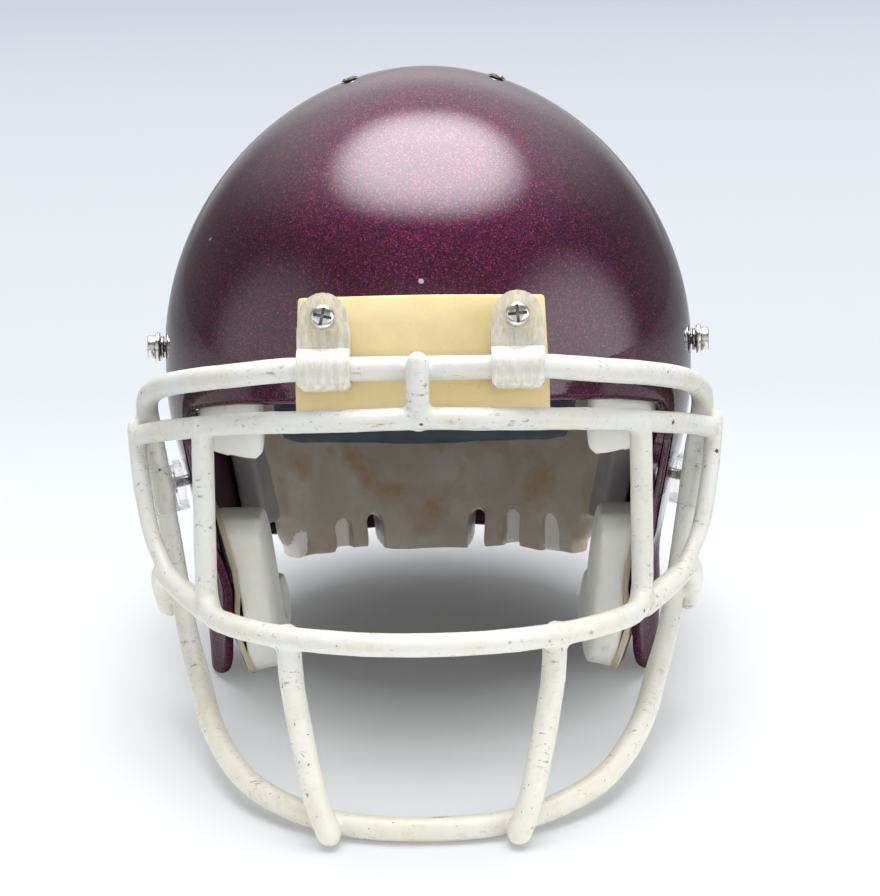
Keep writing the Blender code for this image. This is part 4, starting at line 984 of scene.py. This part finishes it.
def guard():
    wires = [(perimeter_route(), perimeter_wire, True)]

    def wire(stops, size):
        wires.append((smooth_route(stops, route_step), size, False))

    half = stations(LOWER_BAR_SHARES, guard_half_width, lower_forward, lower_height)
    lower = [*mirrored(half), Vector((0, -lower_forward, lower_height)), *half]
    coarse = smooth_route(lower, 11 * mm)
    wire(lower, lower_wire)
    wire(mouth_stations(coarse), mouth_wire)
    stub_y = -(brow_forward + (perimeter_wire + strut_wire) / 2 - 1.2 * mm)
    stub = [
        Vector((0, stub_y, brow_height + perimeter_wire * 0.42)),
        Vector((0, stub_y - 0.6 * mm, (brow_height + lower_height) / 2)),
        Vector((0, stub_y + 1.2 * mm, lower_height - brow_wire * 0.1)),
    ]
    wire(stub, strut_wire)
    arch = mouth_arch()
    front = -(guard_reach + (perimeter_wire + strut_wire) / 2 - 0.6 * mm)
    for side, _ in SIDES:
        for shares, size in ((ARC_SHARES, arc_wire), (CHEEK_SHARES, cheek_wire)):
            wire(stations(shares, guard_half_width, mouth_forward, mouth_height, side), size)
        head = min(arch, key=lambda p: abs(p.x - side * strut_head_half))
        foot = Vector((side * strut_foot_half, front + 3.2 * mm, 0))
        strut = [
            Vector((side * (strut_head_half + 1.3 * mm), head.y, head.z)),
            Vector((side * strut_head_half, head.y - 4.7 * mm, head.z - 18.8 * mm)),
            foot + (head - foot) * 0.25 + Vector((0, -2.8 * mm, 0)),
            foot + Vector((0, 0.4 * mm, 5.4 * mm)),
        ]
        wire(strut, brow_wire)
    work = bmesh.new()
    for route, size, cyclic in wires:
        tube_into(work, route, size / 2 + coat_swell, cyclic)
    mesh = remeshed(mesh_of(work, "guard_frame"), 1.0 * mm, 4)
    # The dipped coat is a little thicker in places
    push(mesh, lambda p: noise.noise(p * 70) * 0.16 * mm + noise.noise(p * 210) * 0.05 * mm)
    for v in mesh.vertices:
        v.co.z = max(v.co.z, 0.25 * mm)
        # It sits a little to one side in its clips, and its rear is drawn in to the shell
        drawn_in = guard_drawn_in * fade(abs(v.co.x), 96 * mm, 114 * mm)
        v.co.x -= guard_offset + side_of(v.co) * drawn_in
    coat(mesh, white_coat)
    gone = [n for n in NODES if n.startswith("guard_")]
    add("guard_frame", mesh, "face_guard", gone, degrees=80)


# Fasteners


def axis_of(node):
    """The line that a turned CAD piece turns about: its top, its outward direction and its length."""
    mesh = cad_mesh(node)
    flats = {}
    for face in mesh.polygons:
        key = tuple(round(c, 2) for c in face.normal)
        area = face.area
        flats.setdefault(key, []).append((area, face.center * area, face.normal * area))
    sums = [[sum(part, part[0] * 0) for part in zip(*flat)] for flat in flats.values()]
    area, middle, normal = max(sums, key=lambda flat: flat[0])
    middle /= area
    axis = normal.normalized()
    if axis.dot(middle - Vector((0, 0, widest_height))) < 0:
        axis.negate()
    heights = [(v.co - middle).dot(axis) for v in mesh.vertices]
    return middle + axis * max(heights), axis, max(heights) - min(heights)


def box_mesh(size, place):
    work = bmesh.new()
    bmesh.ops.create_cube(work, size=1, matrix=place @ Matrix.Diagonal((*size, 1)))
    return mesh_of(work, "box")


def turned_piece(node, profile, look, turn=0.0, recess=False):
    """A turned piece in the CAD piece's place, in mm. Heights in the profile are below its top."""
    top, axis, length = axis_of(node)
    place = frame_at(top, axis) @ Matrix.Rotation(math.radians(turn), 4, "Z")
    rows = [(radius * mm, max(-height * mm, -length)) for radius, height in profile]
    mesh = turned_mesh(node, rows, place)
    if recess:
        arms = ((7.0, 1.15), (1.15, 7.0))
        mesh = carve(mesh, [box_mesh((w * mm, d * mm, 3.6 * mm), place) for w, d in arms])
    coat(mesh, look)
    add(f"{node}_turned", mesh, "helmet", [node], degrees=34)


SCREW = (
    (0, 0), (1.6, 0.04), (3.0, 0.22), (3.9, 0.62), (4.45, 1.2), (4.7, 2.0), (4.7, 2.75), (4.55, 3.0),
    (2.2, 3.0), (2.2, 99), (0, 99),
)
STUD = (
    (0, 1.1), (3.9, 1.1), (4.7, 1.2), (5.05, 1.5), (5.15, 1.9), (5.15, 4.5), (4.95, 4.95),
    (4.3, 5.15), (3.2, 5.2), (3.2, 5.6), (2.2, 5.6), (2.2, 99), (0, 99),
)
WASHER = (
    (2.6, -1.3), (5.8, -1.3), (6.3, -1.15), (6.5, -0.75), (6.5, 0.1), (6.3, 0.55), (5.8, 0.75),
    (3.7, 0.8), (3.7, 1.0), (4.5, 1.1), (4.75, 1.4), (4.75, 2.0), (4.5, 2.4), (2.6, 2.4),
    (2.6, -1.3),
)
GROMMET = (
    (1.45, 0.9), (1.5, 0.1), (1.9, -0.15), (2.5, -0.1), (2.7, 0.3), (3.5, 0.62), (3.68, 0.8),
    (3.6, 0.88), (2.6, 0.9), (2.55, 4.4), (1.5, 4.4), (1.45, 0.9),
)
eyelet_radius = 2.75 * mm
eyelet_depth = 1.5 * mm


def fasteners():
    for side, label in SIDES:
        turned_piece(f"brow_screw_{label}", SCREW, steel, 9 * side - 4, True)
        turned_piece(f"side_screw_{label}", SCREW, steel, 31, True)
        turned_piece(f"strap_stud_{label}", STUD, nickel)
        turned_piece(f"strap_washer_{label}", WASHER, nickel)
        node = f"vent_grommet_{label}"
        top, axis, _ = axis_of(node)
        place = frame_at(top, axis, (0, 1, 0.1))
        mesh = turned_mesh(node, [(r * mm, -h * mm) for r, h in GROMMET], place)
        coat(mesh, dark_rubber, nickel)
        for face in mesh.polygons:
            away = face.center - top
            eyelet = away.cross(axis).length < eyelet_radius and away.dot(axis) > -eyelet_depth
            face.material_index = int(eyelet)
        add(f"{node}_turned", mesh, "helmet", [node], degrees=40)


bumper_half_width = 47 * mm
bumper_lift = 3.4 * mm
pad_foot_lift = 2.5 * mm
pad_foot_tuck = 6.5 * mm
base_foot_set_in = 0.7 * mm
base_front_set_in = 1.3 * mm
base_top_set_in = 1.4 * mm
base_front_back = 2.4 * mm
base_foot_lift = 2.0 * mm


def flatter_top(point):
    """The bumper's top edge is nearly straight, up to its square corners."""
    share = min(abs(point.x) / bumper_half_width, 1)
    lift = bumper_lift * share**2 * fade(point.z, 168 * mm, 182 * mm)
    return Vector((point.x, point.y, point.z + lift))


def foot_share(point):
    """One at a jaw pad's foot, and zero above it."""
    return fade(point.z, 30 * mm, 2 * mm)


def tucked_foot(point, outermost=1.0):
    """The foot of a jaw pad is drawn in on its outer side, and its base follows it."""
    low = foot_share(point)
    lift = pad_foot_lift * low * (1 - outermost)
    inward = pad_foot_tuck * low * outermost + flap_turn(point) * outermost * 0.35
    return Vector((point.x - side_of(point) * inward, point.y, point.z + lift))


def base_form(point):
    """The base shows as a slim bead beside the pad, and ends a little above the pad's foot."""
    low = foot_share(point)
    front = fade(point.y, -5 * mm, -35 * mm)
    closer = base_foot_set_in * low + base_front_set_in * front + flap_turn(point) * 0.2
    closer += base_top_set_in * front * fade(point.z, 36 * mm, 48 * mm)
    move = Vector((-side_of(point) * closer, base_front_back * front, base_foot_lift * low))
    return tucked_foot(Vector(point) + move)


def bevelled(node, look, body, width=0.5 * mm, segments=2, reshape=None):
    """A CAD piece with its edges rounded."""
    edges = {"limit_method": "ANGLE", "angle_limit": math.radians(30)}
    mesh = apply(cad_mesh(node), ("BEVEL", {"width": width, "segments": segments, **edges}))
    if reshape:
        for v in mesh.vertices:
            v.co = reshape(v.co)
    coat(mesh, look)
    add(f"{node}_part", mesh, body, [node])


# Liner


HEAD = Vector((0, 12 * mm, 112 * mm))
cloth_frames = 20
cloth_reach = 4.5 * mm
cloth_start_inset = 1.1 * mm


def simulated(meshes):
    """Each mesh after it is blown up as cloth, all of them in one run."""
    scene = bpy.context.scene
    made = [placed("cloth", mesh) for mesh in meshes]
    for piece in made:
        cloth = piece.modifiers.new("cloth", "CLOTH")
        cloth.settings.quality = 4
        cloth.settings.mass = 0.15
        cloth.settings.tension_stiffness = 18
        cloth.settings.compression_stiffness = 18
        cloth.settings.bending_stiffness = 0.6
        cloth.settings.use_pressure = True
        cloth.settings.uniform_pressure_force = 4
        cloth.settings.effector_weights.gravity = 0
        cloth.collision_settings.use_collision = False
        cloth.point_cache.frame_start = 1
        cloth.point_cache.frame_end = cloth_frames
    for frame_number in range(1, cloth_frames + 1):
        scene.frame_set(frame_number)
    graph = bpy.context.evaluated_depsgraph_get()
    done = [bpy.data.meshes.new_from_object(piece.evaluated_get(graph)) for piece in made]
    for piece in made:
        bpy.data.objects.remove(piece, do_unlink=True)
    scene.frame_set(1)
    return done


def settle(mesh, first, solid, crown):
    """Caps how far points have moved, and keeps them in the CAD pad's space but for its crown."""
    for v, start in zip(mesh.vertices, first):
        moved = v.co - start
        if moved.length > cloth_reach:
            moved *= cloth_reach / moved.length
        place = start + moved
        near, normal, _, _ = solid.find_nearest(place)
        out = (place - near).dot(normal)
        facing = normal.dot((HEAD - near).normalized())
        allowed = crown * fade(facing, 0.3, 0.8) - 0.1 * mm
        if out > allowed:
            place = near + normal * allowed
        v.co = place


# Each pad's node, look, slot, voxel, crown and fill; a left one has a twin
PADS = (
    ("front_pad", navy, "navy_vinyl", 4 * mm, 1.5 * mm, 0.7),
    ("temple_pad_left", pale, "off_white_vinyl", 3.2 * mm, 1.5 * mm, 0.7),
    ("lateral_pad_left", pale, "off_white_vinyl", 5 * mm, 2 * mm, 0.7),
    ("crown_pad", pale, "off_white_vinyl", 5 * mm, 2 * mm, 0.7),
    ("rear_pad", pale, "off_white_vinyl", 5 * mm, 2 * mm, 0.7),
    ("jaw_pad_left", pale, "off_white_vinyl", 3 * mm, 0.3 * mm, 0.8),
)


def cushions():
    starts = []
    for node, _, _, voxel, _, _ in PADS:
        hard = cad_mesh(node)
        points = [v.co.copy() for v in hard.vertices]
        solid = BVHTree.FromPolygons(points, [p.vertices[:] for p in hard.polygons])
        mesh = remeshed(hard, voxel, 3)
        push(mesh, lambda p: -cloth_start_inset)
        starts.append((mesh, solid, [v.co.copy() for v in mesh.vertices]))
    meshes = [mesh for mesh, _, _ in starts]
    blown = simulated(meshes)
    for (node, look, slot, _, crown, fill), (_, solid, first), mesh in zip(PADS, starts, blown):
        settle(mesh, first, solid, crown)
        finer = ("SUBSURF", {"levels": 1, "render_levels": 1})
        mesh = apply(mesh, ("SMOOTH", {"factor": 0.4, "iterations": 2}), finer)
        if node.startswith("jaw"):
            for v in mesh.vertices:
                v.co = tucked_foot(v.co, fade(abs(v.co.x), 66 * mm, 92 * mm))
        coat(mesh, look)
        twin = node.replace("left", "right")
        for name in dict.fromkeys((node, twin)):
            copy = mesh.copy()
            if name != node:
                copy.transform(Matrix.Diagonal((-1, 1, 1, 1)))
                copy.flip_normals()
            body = name if name.startswith("jaw") else "helmet"
            piece = add(f"{name}_cushion", copy, body, [name], degrees=85)


# Each slot's place across, width, top and depth in mm; two go right through below a step
NAPE_SLOTS = (
    (-58.0, 8.2, 37.5, 11), (-42.4, 8.8, 37.0, 10), (-28.6, 7.4, 36.5, 10),
    (19.2, 7.4, 37.5, 10), (35.4, 8.2, 39.0, 10), (51.0, 8.9, 41.0, 11),
)
NAPE_GAPS = ((-28.6, 6.8, 34.0, 40), (19.2, 6.8, 35.0, 40))
nape_slot_level = 20 * mm
nape_middle = 20 * mm
nape_fill_top = 46 * mm
nape_outer_inset = 2.5 * mm
nape_wing_inset = 17 * mm
nape_face_inset = 26 * mm
slot_cut_above = 14 * mm
slot_cut_below = 60 * mm


def slot_cutter(slots):
    """One mesh that cuts these slots, and each slot's own frame."""
    work = bmesh.new()
    places = []
    for x, width, top, depth in (tuple(size * mm for size in slot) for slot in slots):
        start = (x, nape_middle, nape_slot_level)
        out = normal_at(on_shell(start, (0, 1, 0)))
        out.z = 0
        place = frame_at(on_shell(start, (0, 1, 0), shell_wall + nape_face_inset), out)
        half = width / 2
        rim = [(-half, -slot_cut_below), (half, -slot_cut_below)]
        rim += arc((0, top - nape_slot_level - half), half, 0, 180, 12)
        ends = [
            [work.verts.new(place @ Vector((a, b, c))) for a, b in rim]
            for c in (-slot_cut_above, depth)
        ]
        work.faces.new(ends[0])
        work.faces.new(list(reversed(ends[1])))
        for i in range(len(rim)):
            j = (i + 1) % len(rim)
            work.faces.new((ends[0][i], ends[0][j], ends[1][j], ends[1][i]))
        places.append((place.inverted(), half, top - nape_slot_level))
    return mesh_of(work, "slots"), places


def nape_pad():
    """The fingered nape pad. Cloth can't follow its narrow slots, so it is smoothed instead."""
    work = bmesh.new()
    work.from_mesh(cad_mesh("nape_pad"))
    foot = min(v.co.z for v in work.verts)

    def fill_point(share, angle, inner):
        turn = abs(angle)
        outward = fade(turn, 46, 58)
        lowest = foot + 4 * mm * fade(turn, 12, 36) + 1 * mm * outward
        z = nape_fill_top + (lowest - nape_fill_top) * share
        inset = nape_outer_inset
        if inner:
            inset = 28 * mm - 3 * mm * fade(turn, 20, 50) - 7 * mm * outward
            inset -= 5 * mm * fade(z, lowest + 5 * mm, lowest)
        way = (math.sin(math.radians(angle)), math.cos(math.radians(angle)), 0)
        return on_shell((0, nape_middle, z), way, shell_wall + inset)

    # The solid's slots are filled, and cut again where they are wider and higher
    slab_into(work, fill_point, spread(0, 1, 8), spread(-61, 61, 32), (False, True))
    # A greyer wing on each side reaches forward along the shell
    for side, _ in SIDES:
        slab_into(
            work,
            lambda level, a, inset: shell_point(side * math.radians(a), level, shell_wall + inset),
            spread(-0.15, -0.50, 6),
            spread(111, 128, 6),
            (nape_outer_inset, nape_wing_inset),
        )
    mesh = remeshed(mesh_of(work, "nape"), 1.5 * mm, 9)
    cutter, places = slot_cutter(NAPE_SLOTS)
    mesh = remeshed(carve(mesh, [cutter, slot_cutter(NAPE_GAPS)[0]]), 1.2 * mm, 3)
    push(mesh, lambda p: noise.noise(p * 45) * 0.5 * mm - 0.25 * mm)
    for v in mesh.vertices:
        v.co.z = max(v.co.z, foot)
    coat(mesh, taupe, light_taupe, grey_taupe)
    for face in mesh.polygons:
        x, y, _ = face.center
        if math.degrees(math.atan2(abs(x) / shell_half_width, y / shell_back)) > 65:
            face.material_index = 2
        for place, half, top in places:
            seen = place @ face.center
            within = math.hypot(seen.x, max(seen.y - (top - half), 0)) < half * 0.97
            if within and seen.z > 5.0 * mm and face.normal.y < -0.3:
                face.material_index = 1
    piece = add("nape_pad_cushion", mesh, "helmet", ["nape_pad"], degrees=85)


# Floor, light and camera


floor_reach = 6.0
floor_drop = 0.2 * mm
photo_width = 880
photo_height = 896
photo_centre = 430.8
photo_focal = 2025
film_height = 36
camera_distance = 0.9
camera_aim_height = 95 * mm


def studio():
    floor = bpy.data.meshes.new("floor")
    corners = [(x * floor_reach, y * floor_reach, 0) for x, y in ((-1, -1), (1, -1), (1, 1), (-1, 1))]
    floor.from_pydata(corners, [], [(0, 1, 2, 3)])
    ground = placed("floor", floor)
    look = Look("pale_paper", Roughness=0.75, Specular_IOR_Level=0.2)
    away = look.sum("DIVIDE", look.part("Y"), 4.0)
    paper = look.ramp(
        away, (0.0, (0.86, 0.88, 0.89)), (0.12, (0.635, 0.67, 0.70)), (0.9, (0.455, 0.475, 0.53))
    )
    # The camera sees the paper flatter than it lights the helmet: for the camera the paper glows, and
    # the glow fades out under the helmet, leaving a painted shadow there
    seen = look.camera_ray()
    look.to("Emission Color", paper)
    from_middle = look.distance((0, 55 * mm, 0))
    # The glow fades out near the middle of the helmet: a painted shadow under it
    glow_beyond_painted_shadow = look.ramp(look.sum("DIVIDE", from_middle, 0.25), (0.30, 0.12), (0.56, 1.0))
    look.to("Emission Strength", look.product(look.product(seen, 0.31), glow_beyond_painted_shadow))
    # For all rays but the camera's, the paper is darker beside the helmet, in front of it and behind
    # it
    beside = look.ramp(look.sum("ABSOLUTE", look.part("X"), 0), (0.14, 1.0), (0.24, 0.45))
    before = look.ramp(look.sum("DIVIDE", look.part("Y"), -2.0), (0.25, 1.0), (0.4, 0.25))
    behind = look.ramp(look.sum("DIVIDE", look.part("Y"), 2.0), (0.2, 1.0), (0.5, 0.6))
    lit = look.tinted(look.tinted(paper, beside), look.product(before, behind))
    look.to("Base Color", look.mix(seen, lit, look.tinted(paper, (0.50, 0.50, 0.50))))
    coat(floor, look.material)
    ground.location.z = -floor_drop

    world = bpy.data.worlds.new("soft_room")
    bpy.context.scene.world = world
    world.use_nodes = True
    sky = Nodes(world.node_tree)
    place = sky.node("ShaderNodeTexCoord").outputs["Generated"]

    def lobe(way, near, far, level):
        """Light from round one direction, fading smoothly from its middle to its rim."""
        dot = sky.node("ShaderNodeVectorMath", operation="DOT_PRODUCT")
        sky.feed(dot.inputs[0], place)
        dot.inputs[1].default_value = Vector(way).normalized()
        fade = sky.node("ShaderNodeMapRange", interpolation_type="SMOOTHERSTEP")
        sky.feed(fade.inputs["Value"], dot.outputs["Value"])
        for key, value in (("From Min", far), ("From Max", near), ("To Max", level)):
            fade.inputs[key].default_value = value
        return fade.outputs["Result"]

    level = 0.24
    for lamp in (
        ((0.02, 0.08, 1), 1.0, 0.84, 8.0),
        ((0, 0.55, 1), 1.0, 0.50, 1.0),
        ((0, 1, 0.1), 0.98, 0.80, 0.35),
        ((0, -1, -0.05), 0.97, 0.60, 0.66),
        ((1, -0.6, 0.0), 0.98, 0.66, 2.1),
        ((-1, -0.6, 0.0), 0.98, 0.66, 0.9),
    ):
        level = sky.sum("ADD", level, lobe(*lamp))
    light = sky.tree.nodes["Background"]
    light.inputs["Color"].default_value = (0.975, 0.98, 1.0, 1)
    sky.feed(light.inputs["Strength"], level)
    # The camera sees a plain pale room instead of the lights
    plain = sky.node("ShaderNodeBackground")
    plain.inputs["Color"].default_value = (0.80, 0.83, 0.88, 1)
    seen = sky.node("ShaderNodeMixShader")
    for socket, value in zip(seen.inputs, (sky.camera_ray(), light.outputs[0], plain.outputs[0])):
        sky.feed(socket, value)
    sky.feed(sky.tree.nodes["World Output"].inputs["Surface"], seen.outputs[0])


def camera():
    elevation = math.radians(17.0)
    yaw = math.radians(-1.3)
    roll = math.radians(-1.2)
    made = placed("camera", bpy.data.cameras.new("camera"))
    back = Vector((
        -math.sin(yaw) * math.cos(elevation),
        -math.cos(yaw) * math.cos(elevation),
        math.sin(elevation),
    ))
    place = Vector((0, 0, camera_aim_height)) + shift + back * camera_distance
    aim = (-back).to_track_quat("-Z", "Y").to_matrix().to_4x4()
    made.matrix_world = Matrix.Translation(place) @ aim @ Matrix.Rotation(roll, 4, "Z")
    made.data.sensor_fit = "VERTICAL"
    made.data.sensor_height = film_height
    made.data.lens = photo_focal * film_height / photo_height
    made.data.shift_x = (photo_width / 2 - photo_centre) / photo_height
    made.data.clip_start = 0.01
    bpy.context.scene.camera = made


shell()
guard()
fasteners()
cushions()
nape_pad()
for _, label in SIDES:
    jaw = f"jaw_pad_{label}"
    bevelled(f"brow_clip_{label}", clear, "helmet")
    bevelled(f"side_clip_{label}", clearer, "face_guard")
    bevelled(f"jaw_pad_base_{label}", tan_plastic, jaw, 0.8 * mm, 3, base_form)
    # These CAD nodes stay, with looks of their own
    for kind in ("brow", "side", "strap"):
        coat(NODES[f"{kind}_nut_{label}"].data, steel)
    for i in (1, 2):
        coat(NODES[f"jaw_snap_{label}_{i}"].data, nickel)
bevelled("nose_bumper", cream_rubber, "helmet", 0.6 * mm, reshape=flatter_top)
studio()
camera()
bpy.context.scene.view_settings.view_transform = "Standard"
